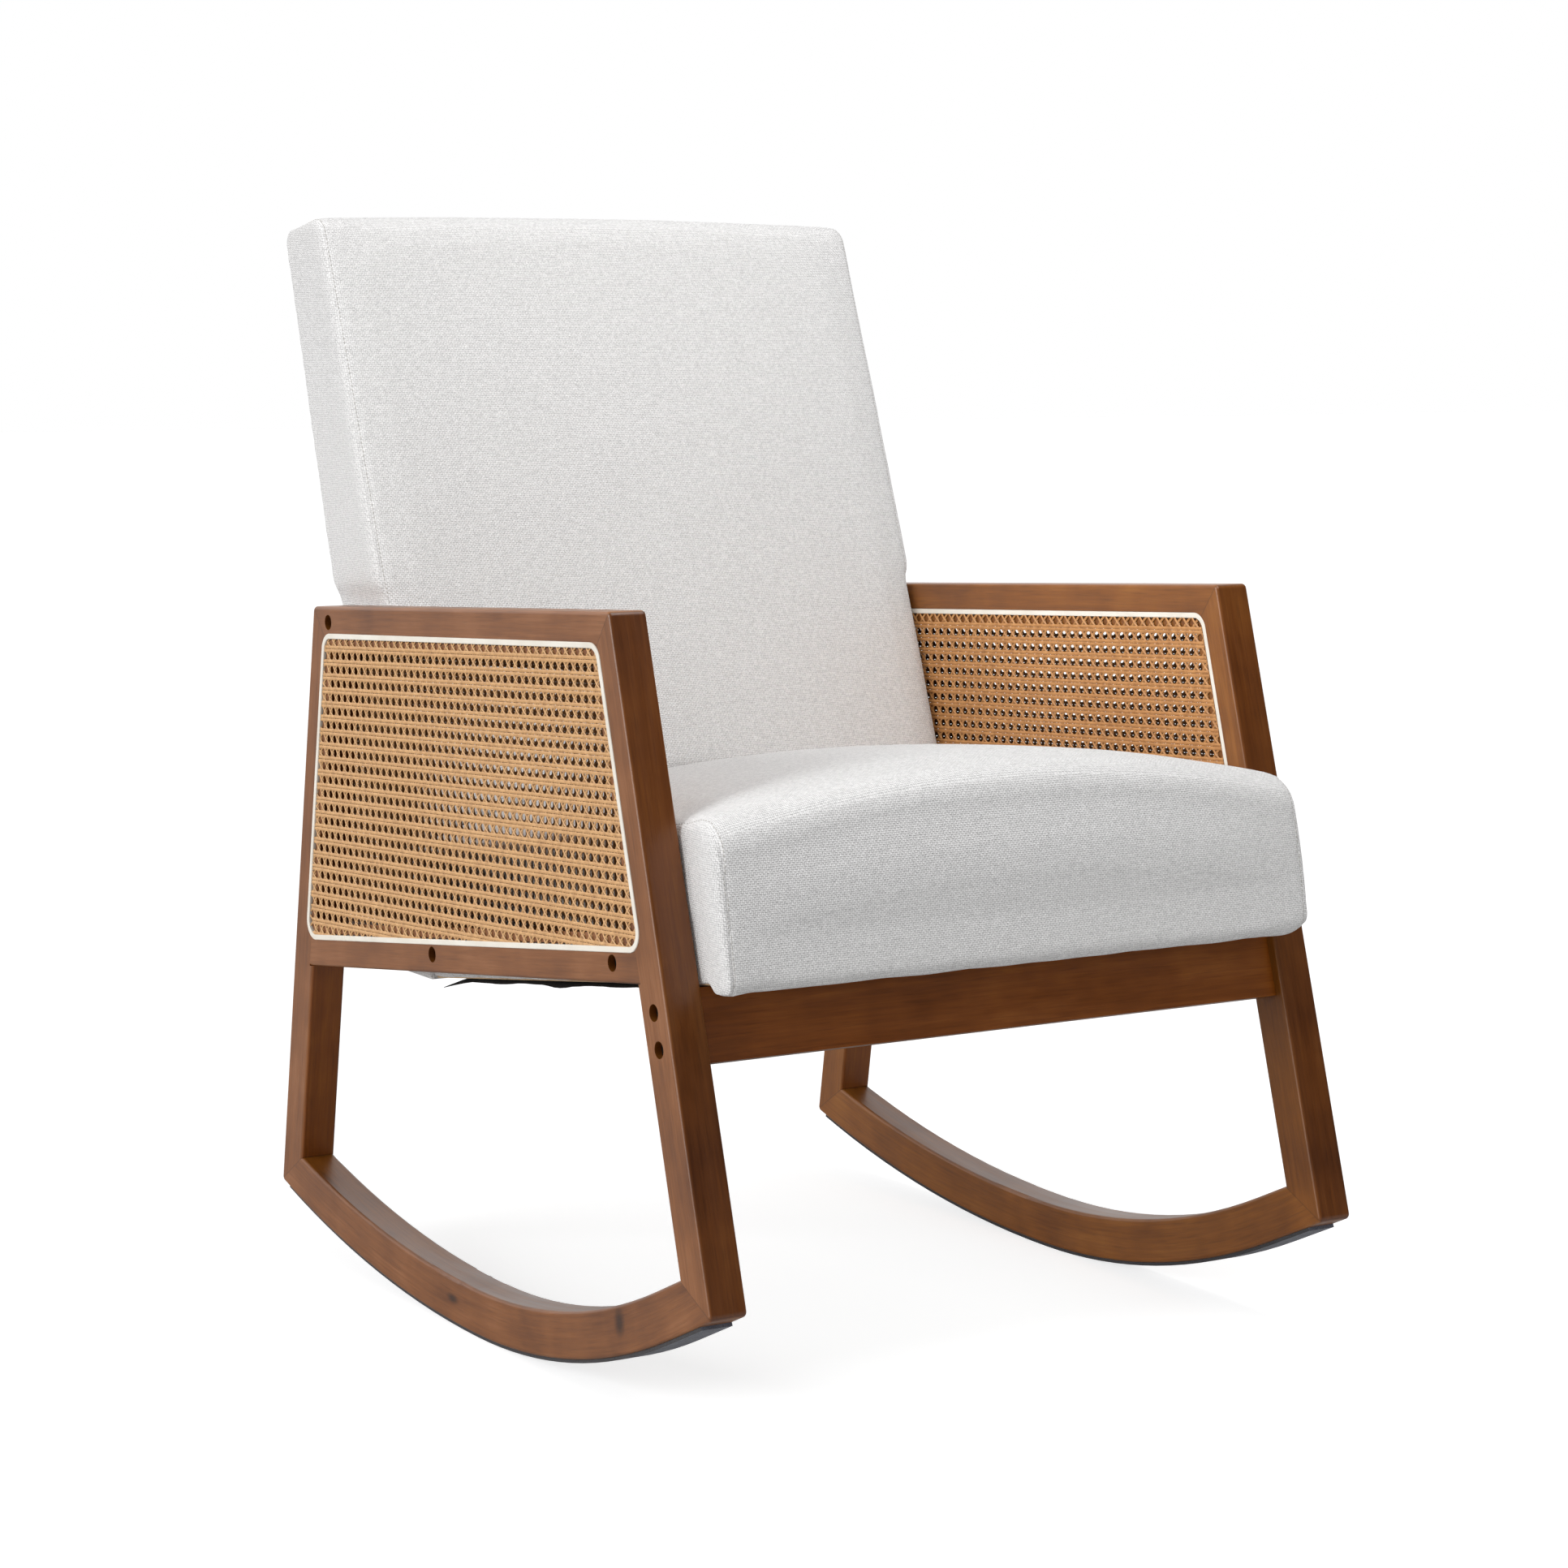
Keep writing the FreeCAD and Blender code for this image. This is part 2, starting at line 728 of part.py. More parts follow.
for label, side in SIDES.items():
    members = {}
    for kind, make in MEMBERS.items():
        members[kind] = make(f"{label}_{kind}", side)
        parts.append(members[kind])
    for kind in ("front_post", "rear_post", "top_rail", "middle_rail"):
        cut_panel_seat(members[kind], side)

    middle = "Sizes.frame_depth / 2"
    tenon_range = across(
        side,
        f"{middle} - Sizes.tenon_thickness / 2",
        f"{middle} + Sizes.tenon_thickness / 2",
    )
    mortise_range = across(
        side,
        f"{middle} - Sizes.tenon_thickness / 2 - Sizes.fit_clearance",
        f"{middle} + Sizes.tenon_thickness / 2 + Sizes.fit_clearance",
    )
    for joint, (first, second, outer, inner) in joint_lines().items():
        tenon = new_body(f"{label}_{joint}_tenon")
        add(tenon, "slip", tenon_outline(outer, inner, 0), *tenon_range)
        parts.append(tenon)
        for kind in (first, second):
            mortise = tenon_outline(outer, inner, size("fit_clearance"))
            cut(members[kind], f"{joint}_mortise", mortise, *mortise_range)

    for kind, (member, centre) in BOLTS.items():
        parts.append(bolt(f"{label}_{kind}", side, centre))
        bore_member(members[member], kind, side, centre)

    parts.append(felt(f"{label}_felt", side))
    depth = "Sizes.frame_depth"
    faces = {
        "outer": (
            across(side, "0", "Sizes.cane_thickness"),
            across(side, "0", "Sizes.groove_depth"),
            across(side, "-Sizes.spline_proud", "Sizes.groove_depth"),
            side,
        ),
        "inner": (
            across(side, f"{depth} - Sizes.cane_thickness", depth),
            across(side, f"{depth} - Sizes.groove_depth", depth),
            across(side, f"{depth} - Sizes.groove_depth", depth),
            -side,
        ),
    }
    for face, (sheet_place, tuck_place, reed_place, facing) in faces.items():
        parts.append(cane_panel(f"{label}_{face}_cane", sheet_place, tuck_place))
        parts.append(cane_spline(f"{label}_{face}_spline", reed_place, facing))

# Apron between the front posts

inner_half = "Sizes.overall_width / 2 - Sizes.frame_depth"
apron = new_body("front_apron")
add(apron, "board", between(apron_front, apron_top_edge, apron_rear, apron_bottom), *centred(inner_half))
for label, side in SIDES.items():
    bore_inner(apron, f"{label}_upper_hole", side, upper_post_bolt)
    bore_inner(apron, f"{label}_lower_hole", side, lower_post_bolt)
parts.append(apron)


# Soft boxes: smooth lofts through sections of the side view


def loft(body, section, half_width):
    """A soft box through its sections, one at each share of its half width."""
    drawings = [
        sketch(body, f"section_{number}", section(share), f"{share} * ({half_width})")
        for number, share in enumerate(SECTION_SHARES)
    ]
    skin = body.newObject("PartDesign::AdditiveLoft", f"{body.Name}_loft")
    skin.Profile = drawings[0]
    skin.Sections = drawings[1:]
    skin.Ruled = False
    skin.Refine = False
    return skin


def seat_top_arc(swell):
    """The seat's front face and the ends and rise of its top, for a share of the full crown."""
    crown = size("seat_crown") * swell
    front_share, rear_share = SEAT_CROWN_SHARES
    front = inside(seat_front, -size("seat_front_bulge") * swell)
    nose = crossing(front, seat_top(crown * front_share))
    rear = crossing(seat_rear, seat_top(crown * rear_share))
    rise = size("seam_bulge") + crown * (1 - (front_share + rear_share) / 2)
    return front, nose, rear, rise


def seat_section(share):
    """The seat at a share of its half width: crowned on top, full at the nose."""
    front, nose, rear, rise = seat_top_arc(1 - share ** 2)
    low = crossing(seat_base, front)
    tail = crossing(seat_rear, seat_base)
    nose_corner = Corner(low, nose, leaving(nose, rear, rise), size("seat_nose_radius"))
    low_corner = Corner(tail, low, nose, size("seat_front_radius"))
    tail_corner = Corner(rear, tail, low, size("seat_rear_radius"))
    return run(
        low_corner.start,
        (low_corner.middle, low_corner.end),
        nose_corner.start,
        (nose_corner.middle, nose_corner.end),
        (bowed(nose, rear, rise), rear),
        tail_corner.start,
        (tail_corner.middle, tail_corner.end),
        low_corner.start,
    )


def back_section(share):
    """The back at a share of its half width: crowned to the front and on top, stepped over the seat."""
    swell = 1 - share ** 2
    crown = size("back_crown") * swell
    low_share, high_share = BACK_CROWN_SHARES
    _, nose, seat_end, seat_rise = seat_top_arc(swell)
    seat_line = (
        seat_end + Vector(0, size("back_seat_gap"), 0),
        (leaving(seat_end, nose, -seat_rise) - seat_end).normalize(),
    )
    step = crossing(tail_front, seat_line)
    low = crossing(inside(back_front, -crown * low_share), seat_line)
    top = back_top(size("back_top_crown") * swell)
    high = crossing(inside(back_front, -crown * high_share), top)
    rear = crossing(top, back_rear)
    heel = crossing(back_rear, back_bottom)
    tail = crossing(back_bottom, tail_front)
    rise = size("seam_bulge") + crown * (1 - (low_share + high_share) / 2)
    low_corner = Corner(step, low, leaving(low, high, rise), size("back_low_radius"))
    high_corner = Corner(leaving(high, low, -rise), high, rear, size("back_front_radius"))
    rear_corner = Corner(high, rear, heel, size("back_rear_radius"))
    heel_corner = Corner(rear, heel, tail, size("back_tail_radius"))
    return run(
        tail,
        step,
        low_corner.start,
        (low_corner.middle, low_corner.end),
        (bowed(low, high, rise), high_corner.start),
        (high_corner.middle, high_corner.end),
        rear_corner.start,
        (rear_corner.middle, rear_corner.end),
        heel_corner.start,
        (heel_corner.middle, heel_corner.end),
        tail,
    )


# Seat: frame, deck, cushion and dust cover

soft_half = f"{inner_half} - Sizes.soft_clearance"
frame_half = f"{soft_half} - Sizes.cover_thickness"
cover = size("cover_thickness")
box_front = inside(seat_front, cover + size("seat_nose_padding"))
box_rear = inside(seat_rear, cover)
box_top = inside(seat_base, size("seat_rail_height"))
deck_top = inside(box_top, size("deck_thickness"))
rail = size("seat_rail_thickness")

seat_bolts = {"rear": rear_rail_bolt, "front": front_rail_bolt}
cushion = new_body("seat_cushion")
loft(cushion, seat_section, soft_half)
hollow = between(box_front, deck_top, box_rear, inside(seat_base, -size("overrun")))
cut(cushion, "hollow", hollow, *centred(frame_half))
parts.append(cushion)

for label, side in SIDES.items():
    side_rail = new_body(f"seat_{label}_rail")
    reach = across(side, f"Sizes.overall_width / 2 - ({frame_half})",
                   f"Sizes.overall_width / 2 - ({frame_half}) + Sizes.seat_rail_thickness")
    add(side_rail, "blank", between(box_front, box_top, box_rear, seat_base), *reach)
    for place, centre in seat_bolts.items():
        bore_inner(side_rail, f"{place}_hole", side, centre)
        bore_inner(cushion, f"{label}_{place}_hole", side, centre)
    parts.append(side_rail)

between_rails = f"{frame_half} - Sizes.seat_rail_thickness"
front_rail = new_body("seat_front_rail")
front_outline = between(box_front, box_top, inside(box_front, rail), seat_base)
add(front_rail, "blank", front_outline, *centred(between_rails))
rear_rail = new_body("seat_rear_rail")
rear_outline = between(inside(box_rear, rail), box_top, box_rear, seat_base)
add(rear_rail, "blank", rear_outline, *centred(between_rails))
deck = new_body("seat_deck")
add(deck, "board", between(box_front, deck_top, box_rear, box_top), *centred(frame_half))
dust_cover = new_body("dust_cover")
dust_outline = between(
    inside(box_front, size("dust_cover_inset")),
    seat_base,
    inside(box_rear, size("dust_cover_inset")),
    inside(seat_base, -size("dust_cover_thickness")),
)
add(dust_cover, "sheet", dust_outline, *centred(f"{frame_half} - Sizes.dust_cover_inset"))
parts += [front_rail, rear_rail, deck, dust_cover]

# Back: frame, cushion and rear cover

stile_front = inside(tail_front, cover)
stile_rear = inside(back_rear, size("back_cover_thickness"))
stile_top = inside(back_top(0), size("back_top_foam"))
stile_bottom = inside(back_bottom, cover)

back = new_body("back_cushion")
loft(back, back_section, soft_half)
hollow = between(stile_front, stile_top, inside(back_rear, -size("overrun")), stile_bottom)
cut(back, "hollow", hollow, *centred(frame_half))
parts.append(back)

for label, side in SIDES.items():
    stile = new_body(f"back_{label}_stile")
    reach = across(side, f"Sizes.overall_width / 2 - ({frame_half})",
                   f"Sizes.overall_width / 2 - ({frame_half}) + Sizes.back_stile_width")
    add(stile, "blank", between(stile_front, stile_top, stile_rear, stile_bottom), *reach)
    bore_inner(stile, "hole", side, arm_bolt)
    bore_inner(back, f"{label}_hole", side, arm_bolt)
    parts.append(stile)

between_stiles = f"{frame_half} - Sizes.back_stile_width"
rail_rear = inside(stile_front, size("back_rail_thickness"))
upper_rail = new_body("back_upper_rail")
upper_outline = between(stile_front, stile_top, rail_rear, inside(stile_top, size("back_rail_height")))
add(upper_rail, "blank", upper_outline, *centred(between_stiles))
lower_rail = new_body("back_lower_rail")
lower_outline = between(stile_front, inside(stile_bottom, size("back_rail_height")), rail_rear, stile_bottom)
add(lower_rail, "blank", lower_outline, *centred(between_stiles))
back_cover = new_body("back_cover")
add(back_cover, "sheet", between(stile_rear, stile_top, back_rear, stile_bottom), *centred(frame_half))
parts += [upper_rail, lower_rail, back_cover]

# Checks, then one file for each sub-part

doc.recompute()
for item in doc.Objects:
    if "Invalid" in item.State or "Error" in item.State:
        raise ValueError(f"{item.Name} failed")
os.makedirs("parts", exist_ok=True)
for part in parts:
    shape = part.Shape
    if shape.isNull() or not shape.isValid() or len(shape.Solids) != 1:
        raise ValueError(f"{part.Label} is not one valid solid")
    shape.exportStep(os.path.join("parts", f"{part.Label}.step"))
print(len(parts), "sub-parts written")
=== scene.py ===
import math

import bmesh
import bpy
from mathutils import Matrix, Vector, noise
from mathutils.bvhtree import BVHTree


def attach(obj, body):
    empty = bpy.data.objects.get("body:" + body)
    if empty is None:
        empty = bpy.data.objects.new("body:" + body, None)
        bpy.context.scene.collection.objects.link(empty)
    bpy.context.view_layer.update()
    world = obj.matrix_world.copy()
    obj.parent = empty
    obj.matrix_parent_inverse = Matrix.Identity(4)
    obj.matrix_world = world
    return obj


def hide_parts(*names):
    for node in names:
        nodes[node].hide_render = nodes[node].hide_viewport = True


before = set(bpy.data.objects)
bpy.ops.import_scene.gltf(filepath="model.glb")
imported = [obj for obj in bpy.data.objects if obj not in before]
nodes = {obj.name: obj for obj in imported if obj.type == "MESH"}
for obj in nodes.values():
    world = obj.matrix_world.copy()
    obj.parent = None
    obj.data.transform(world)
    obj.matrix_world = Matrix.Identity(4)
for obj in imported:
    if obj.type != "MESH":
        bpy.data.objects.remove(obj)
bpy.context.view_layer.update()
SIDES = {"left": -1, "right": 1}


# The studio: a seamless pale floor and a white backdrop, a softbox overhead, a broad window light
# from the left and even fill from the room. The camera stands low, ahead of the left arm.

CAMERA_PLACE = (-1.70735, -2.77071, 0.85695)
CAMERA_DIP, CAMERA_TURN = 6.942, -31.706
FLOOR_TONE, FLOOR_GLOW = 0.62, 0.72

camera_data = bpy.data.cameras.new("camera")
camera_data.lens = 83.66
camera_data.sensor_width = 36
camera_data.clip_end = 100
camera = bpy.data.objects.new("camera", camera_data)
camera.location = CAMERA_PLACE
camera.rotation_euler = (math.radians(90 - CAMERA_DIP), 0, math.radians(CAMERA_TURN))
bpy.context.scene.collection.objects.link(camera)
bpy.context.scene.camera = camera
bpy.context.scene.view_settings.view_transform = "Standard"


class Finish:
    """A surface finish: a material, or the world, whose nodes are wired one into the next."""

    def __init__(self, name, world=None):
        self.material = world or bpy.data.materials.new(name)
        self.material.use_nodes = True
        self.tree = self.material.node_tree
        self.skin = self.tree.nodes.get("Principled BSDF")

    def node(self, kind, *values, **settings):
        """A node with its settings and its inputs in order: a number, a colour or another socket."""
        made = self.tree.nodes.new(f"ShaderNode{kind}")
        for key, setting in settings.items():
            setattr(made, key, setting)
        for socket, value in zip(made.inputs, values):
            self.wire(value, socket)
        return made

    def wire(self, value, socket):
        """Sets an input to a value, or joins it to another node's output."""
        if isinstance(value, bpy.types.NodeSocket):
            self.tree.links.new(value, socket)
        elif value is not None:
            socket.default_value = value

    def math(self, operation, *values):
        """The result of one sum on two numbers or sockets."""
        return self.node("Math", *values, operation=operation).outputs[0]

    def vector(self, operation, *values):
        """The result of one sum on vectors."""
        return self.node("VectorMath", *values, operation=operation).outputs[0]

    def ramp(self, factor, *stops):
        """A colour ramp through stops of a place and a colour."""
        made = self.node("ValToRGB", factor)
        ramp = made.color_ramp
        ramp.elements[0].position, ramp.elements[0].color = stops[0][0], (*stops[0][1], 1)
        ramp.elements[1].position, ramp.elements[1].color = stops[-1][0], (*stops[-1][1], 1)
        for place, colour in stops[1:-1]:
            ramp.elements.new(place).color = (*colour, 1)
        return made.outputs[0]

    def between(self, value, low, high, start=0.0, end=1.0):
        """A value's range stretched or squeezed on to another, held at its ends."""
        return self.node("MapRange", value, low, high, start, end).outputs[0]

    def mix(self, factor, first, second, blend="MIX"):
        """Two colours mixed."""
        made = self.node("Mix", data_type="RGBA", blend_type=blend)
        self.wire(factor, made.inputs[0])
        self.wire(first, made.inputs[6])
        self.wire(second, made.inputs[7])
        return made.outputs[2]

    def noise(self, place, scale, detail=2.0, roughness=0.5, distortion=0.0):
        """Cloudy noise, about a half on average."""
        made = self.node("TexNoise")
        self.wire(place, made.inputs["Vector"])
        made.inputs["Scale"].default_value = scale
        made.inputs["Detail"].default_value = detail
        made.inputs["Roughness"].default_value = roughness
        made.inputs["Distortion"].default_value = distortion
        return made.outputs[0]

    def skin_of(self, colour, roughness, height=None, depth=0.0, specular=0.5):
        """Wires the colour, roughness and relief of the surface, with its relief in metres."""
        self.wire(colour, self.skin.inputs["Base Color"])
        self.wire(roughness, self.skin.inputs["Roughness"])
        self.skin.inputs["Specular IOR Level"].default_value = specular
        if height is not None:
            bump = self.node("Bump")
            bump.inputs["Strength"].default_value = 1.0
            bump.inputs["Distance"].default_value = depth
            self.wire(height, bump.inputs["Height"])
            self.wire(bump.outputs[0], self.skin.inputs["Normal"])
        return self.material


def piece(name, bm, material, smooth=True, slot=None):
    """A new piece from a mesh under work; given a slot, it rides on the root body."""
    mesh = bpy.data.meshes.new(name)
    bm.to_mesh(mesh)
    bm.free()
    made = bpy.data.objects.new(name, mesh)
    bpy.context.scene.collection.objects.link(made)
    made.data.materials.append(material)
    for polygon in made.data.polygons:
        polygon.use_smooth = smooth
    if slot:
        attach(made, "root")
    return made


def seen_directly(work):
    """Whether a ray shows the studio itself, to the camera or through glass."""
    path = work.tree.nodes.new("ShaderNodeLightPath").outputs
    return work.math("MAXIMUM", path["Is Camera Ray"], path["Is Transmission Ray"])


floor_finish = Finish("pale_floor")
floor_finish.skin_of((FLOOR_TONE, FLOOR_TONE, FLOOR_TONE, 1), 0.9, specular=0.0)
floor_glow = floor_finish.math("MULTIPLY", seen_directly(floor_finish), FLOOR_GLOW)
floor_finish.wire((1, 1, 1, 1), floor_finish.skin.inputs["Emission Color"])
floor_finish.wire(floor_glow, floor_finish.skin.inputs["Emission Strength"])
floor_mesh = bmesh.new()
bmesh.ops.create_grid(floor_mesh, x_segments=1, y_segments=1, size=30)
floor = piece("studio_floor", floor_mesh, floor_finish.material)

# the room is white to the camera, bright behind the chair in reflections, and fills from ahead
bpy.context.scene.world = bpy.data.worlds.new("studio")
room = Finish("studio", bpy.context.scene.world)
room_light = room.tree.nodes["Background"]
room_gloss = room.tree.nodes.new("ShaderNodeLightPath").outputs["Is Glossy Ray"]
room_way = room.node("SeparateXYZ", room.node("TexCoord").outputs["Generated"]).outputs[1]
backdrop = room.between(room_way, -0.1, 0.6, 0.0, 1.15)
fill = room.between(room_way, -1.0, 0.6, 0.57, 0.27)
unseen = room.between(room_gloss, 0.0, 1.0, fill, backdrop)
shown = room.between(seen_directly(room), 0.0, 1.0, unseen, 1.0)
room.wire(shown, room_light.inputs["Strength"])
room_light.inputs["Color"].default_value = (1, 1, 1, 1)


def lamp(name, kind, energy, location, aim, **settings):
    """A lamp aimed at a point of the chair."""
    data = bpy.data.lights.new(name, kind)
    data.energy = energy
    for key, setting in settings.items():
        setattr(data, key, setting)
    made = bpy.data.objects.new(name, data)
    made.location = location
    made.rotation_euler = (Vector(aim) - Vector(location)).to_track_quat("-Z", "Y").to_euler()
    bpy.context.scene.collection.objects.link(made)


lamp("softbox", "AREA", 15.4, (0.1, -0.6, 1.9), (0.0, 0.1, 0.6), shape="SQUARE", size=1.0)
lamp("window", "SUN", 2.4, (-1.9, 0.2, 1.1), (0.0, 0.0, 0.5), angle=math.radians(40))


# The side frames: two posts, a top rail and a middle rail of solid hardwood, mitred at the
# corners, sanded round at the edges, stained walnut brown and lacquered satin.

WALNUT_DARK = (0.118, 0.034, 0.0028)
WALNUT = (0.207, 0.066, 0.006)
WALNUT_PALE = (0.295, 0.108, 0.014)
# painted shade on the front faces, as a factor on red, green and blue, and a painted grey reflection
# on the outer sides, in two of them
FRONT_SHADE_TINT = (1.2, 1.0, 0.6)
# the strength of the painted front shade on the posts and rails, on the rear posts, which stand in
# real shade, and on the apron
FRONT_SHADE_DEPTH, REAR_POST_SHADE_DEPTH, APRON_SHADE_DEPTH = 0.55, 0.95, 1.1
OUTER_REFLECTION_GREEN, OUTER_REFLECTION_BLUE = 1.12, 3.3
JOINT_LINE, JOINT_SHADE = 0.0007, 0.55
# the outer and inner corner of each mitre, in the side view
CORNERS = {
    "front_top": ((-0.2625, 0.645), (-0.23289, 0.60334)),
    "rear_top": ((0.29718, 0.61469), (0.26296, 0.57648)),
    "front_foot": ((-0.41758, 0.10772), (-0.36959, 0.12975)),
    "rear_foot": ((0.38898, 0.06015), (0.34364, 0.08917)),
}


def joint_shade(work, place, joints):
    """A hair line of shade where a member meets its neighbour at a mitre."""
    shade = None
    for outer, inner in joints:
        along = (Vector(inner) - Vector(outer)).normalized()
        across = (0.0, -along.y, along.x)
        offset = work.vector("SUBTRACT", place, (0.0, *outer))
        gap = work.node("VectorMath", offset, across, operation="DOT_PRODUCT").outputs["Value"]
        line = work.between(work.math("ABSOLUTE", gap), 0.0, JOINT_LINE, JOINT_SHADE, 1.0)
        shade = line if shade is None else work.math("MULTIPLY", shade, line)
    return shade


def stained_and_shaded(work, place, grain, seed, joints=(), knots=(), front=FRONT_SHADE_DEPTH):
    """Walnut stain over grain along the second axis, with painted shade on the faces that look ahead,
    darker and redder, and a painted grey reflection on the outer sides.
    """
    shifted = work.vector("ADD", grain, (seed * 0.37, seed * 1.13, seed * 0.71))
    broad = work.noise(shifted, 11.0, 3.0, 0.55)
    wander = work.vector("MULTIPLY", shifted, (1.0, 0.08, 1.0))
    streaks = work.noise(wander, 46.0, 6.0, 0.62, 1.3)
    fine = work.noise(work.vector("MULTIPLY", shifted, (1.0, 0.035, 1.0)), 420.0, 4.0, 0.6)
    pores = work.noise(work.vector("MULTIPLY", shifted, (1.0, 0.03, 1.0)), 1100.0, 1.0)
    figure = work.math("ADD", work.math("MULTIPLY", broad, 0.6), work.math("MULTIPLY", streaks, 0.4))
    figure = work.math("ADD", figure, work.math("MULTIPLY", work.math("SUBTRACT", fine, 0.5), 0.35))
    knot_shade = None
    for centre, reach, squeeze in knots:
        offset = work.vector("SUBTRACT", place, (0.0, *centre))
        offset = work.vector("MULTIPLY", offset, (0.0, *squeeze))
        wobble = work.math("MULTIPLY", work.math("SUBTRACT", broad, 0.5), reach * 1.2)
        away = work.node("VectorMath", offset, operation="LENGTH").outputs["Value"]
        shade = work.between(work.math("ADD", away, wobble), reach * 0.3, reach, 0.3, 1.0)
        knot_shade = shade if knot_shade is None else work.math("MULTIPLY", knot_shade, shade)
        figure = work.math("SUBTRACT", figure, work.between(away, 0.0, reach * 3, 0.12, 0.0))
    colour = work.ramp(figure, (0.3, WALNUT_DARK), (0.52, WALNUT), (0.72, WALNUT_PALE))
    flecks = work.between(pores, 0.28, 0.42, 0.8, 1.0)
    if joints:
        flecks = work.math("MULTIPLY", flecks, joint_shade(work, place, joints))
    if knot_shade is not None:
        flecks = work.math("MULTIPLY", flecks, knot_shade)
    faces = work.node("SeparateXYZ", work.node("NewGeometry").outputs["Normal"]).outputs
    outward = work.math("MULTIPLY", work.node("SeparateXYZ", place).outputs[0], faces[0])
    # faces that look ahead are darkened and reddened: painted shade
    shade_and_reflection = [
        work.math("MULTIPLY", flecks, work.between(faces[1], -0.95, -0.4, front * part, 1.0))
        for part in FRONT_SHADE_TINT
    ]
    # outer side faces are greyed in green and blue: a painted reflection
    for channel, most in ((1, OUTER_REFLECTION_GREEN), (2, OUTER_REFLECTION_BLUE)):
        outer = work.between(outward, 0.12, 0.28, 1.0, most)
        shade_and_reflection[channel] = work.math("MULTIPLY", shade_and_reflection[channel], outer)
    shade = work.node("CombineColor", *shade_and_reflection).outputs[0]
    colour = work.mix(1.0, colour, shade, "MULTIPLY")
    roughness = work.between(streaks, 0.3, 0.7, 0.33, 0.45)
    height = work.math("ADD", work.math("MULTIPLY", fine, 0.6), work.math("MULTIPLY", pores, 0.4))
    work.skin.inputs["Coat Weight"].default_value = 0.15
    work.skin.inputs["Coat Roughness"].default_value = 0.3
    return work.skin_of(colour, roughness, height, 0.00012, 0.45)


def straight_grain(name, angle, seed, joints, front):
    """A finish for a member whose length rises by an angle from level, in the side view."""
    work = Finish(name)
    place = work.node("TexCoord").outputs["Object"]
    turned = work.node("Mapping", place, vector_type="POINT")
    turned.inputs["Rotation"].default_value = (math.radians(-angle), 0, 0)
    return stained_and_shaded(work, place, turned.outputs[0], seed, joints, front=front)


def refinish(node, material):
    """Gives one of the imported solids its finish."""
    solid = nodes[node]
    solid.data.materials.clear()
    solid.data.materials.append(material)


# each member's angle from level, in degrees, and the mitres at its ends
MEMBERS = {
    "front_post": (73.9, ("front_top", "front_foot")),
    "rear_post": (-80.6, ("rear_top", "rear_foot")),
    "top_rail": (-3.1, ("front_top", "rear_top")),
    "middle_rail": (-7.0, ()),
}
for side in SIDES:
    for number, (member, (angle, corners)) in enumerate(MEMBERS.items(), start=1):
        seed = number + 10 * SIDES[side]
        joints = [CORNERS[corner] for corner in corners]
        # the rear posts' front faces, which stand in real shade, get less painted shade
        front = REAR_POST_SHADE_DEPTH if member == "rear_post" else FRONT_SHADE_DEPTH
        finish = straight_grain(f"{side}_{member}_walnut", angle, seed, joints, front)
        refinish(f"{side}_{member}", finish)


# The runners: bent along two arcs that meet where the chair touches the floor, so the grain
# follows the bend. The left one has two small knots, one near its toe and one under the seat.

REAR_CENTRE = (-0.0155, 1.463)
FRONT_CENTRE = (-0.0155, 0.798)
FELT_THICKNESS = 0.003
# each knot's place, its reach and how much it is squeezed along and across the runner
KNOTS = [((-0.2735, 0.0728), 0.0105, (1.15, 0.8)), ((0.0256, 0.0255), 0.0075, (0.6, 1.5))]


def bent_grain(name, seed, joints, knots):
    """Grain wrapped round the runner's two arcs."""
    work = Finish(name)
    place = work.node("TexCoord").outputs["Object"]
    split = work.node("SeparateXYZ", place).outputs
    wraps = []
    for centre in (FRONT_CENTRE, REAR_CENTRE):
        behind = work.math("SUBTRACT", split[1], centre[0])
        below = work.math("SUBTRACT", centre[1], split[2])
        angle = work.math("ARCTAN2", behind, below)
        squares = [work.math("MULTIPLY", offset, offset) for offset in (behind, below)]
        away = work.math("SQRT", work.math("ADD", *squares))
        radius = centre[1] - FELT_THICKNESS
        length = work.math("MULTIPLY", angle, radius)
        depth = work.math("SUBTRACT", away, radius)
        wraps.append(work.node("CombineXYZ", split[0], length, depth).outputs[0])
    rear = work.math("GREATER_THAN", split[1], REAR_CENTRE[0])
    chosen = work.node("Mix", data_type="VECTOR")
    work.wire(rear, chosen.inputs[0])
    work.wire(wraps[0], chosen.inputs[4])
    work.wire(wraps[1], chosen.inputs[5])
    return stained_and_shaded(work, place, chosen.outputs[1], seed, joints, knots)


for side in SIDES:
    joints = [CORNERS["front_foot"], CORNERS["rear_foot"]]
    knots = KNOTS if side == "left" else ()
    finish = bent_grain(f"{side}_runner_walnut", 5 + 10 * SIDES[side], joints, knots)
    refinish(f"{side}_runner", finish)


# The loose tenons and the hidden frames of the seat and back: plain planed pine and plywood.

pine = Finish("planed_pine")
pine_place = pine.node("TexCoord").outputs["Object"]
pine_grain = pine.noise(pine.vector("MULTIPLY", pine_place, (0.1, 1.0, 1.0)), 60.0, 4.0, 0.6, 0.8)
pine_colour = pine.ramp(pine_grain, (0.3, (0.42, 0.27, 0.14)), (0.7, (0.62, 0.45, 0.27)))
pine.skin_of(pine_colour, 0.6, pine_grain, 0.0002)
FRAME_PIECES = (
    "seat_deck", "seat_front_rail", "seat_rear_rail", "seat_left_rail", "seat_right_rail",
    "back_left_stile", "back_right_stile", "back_lower_rail", "back_upper_rail",
)
TENONS = ("front_foot", "rear_foot", "front_top", "rear_top", "front_rail", "rear_rail")
for node in FRAME_PIECES:
    refinish(node, pine.material)
for side in SIDES:
    for tenon in TENONS:
        refinish(f"{side}_{tenon}_tenon", pine.material)


# The felt strips: blue-grey wool felt, glued under the runners and sheared at both ends.

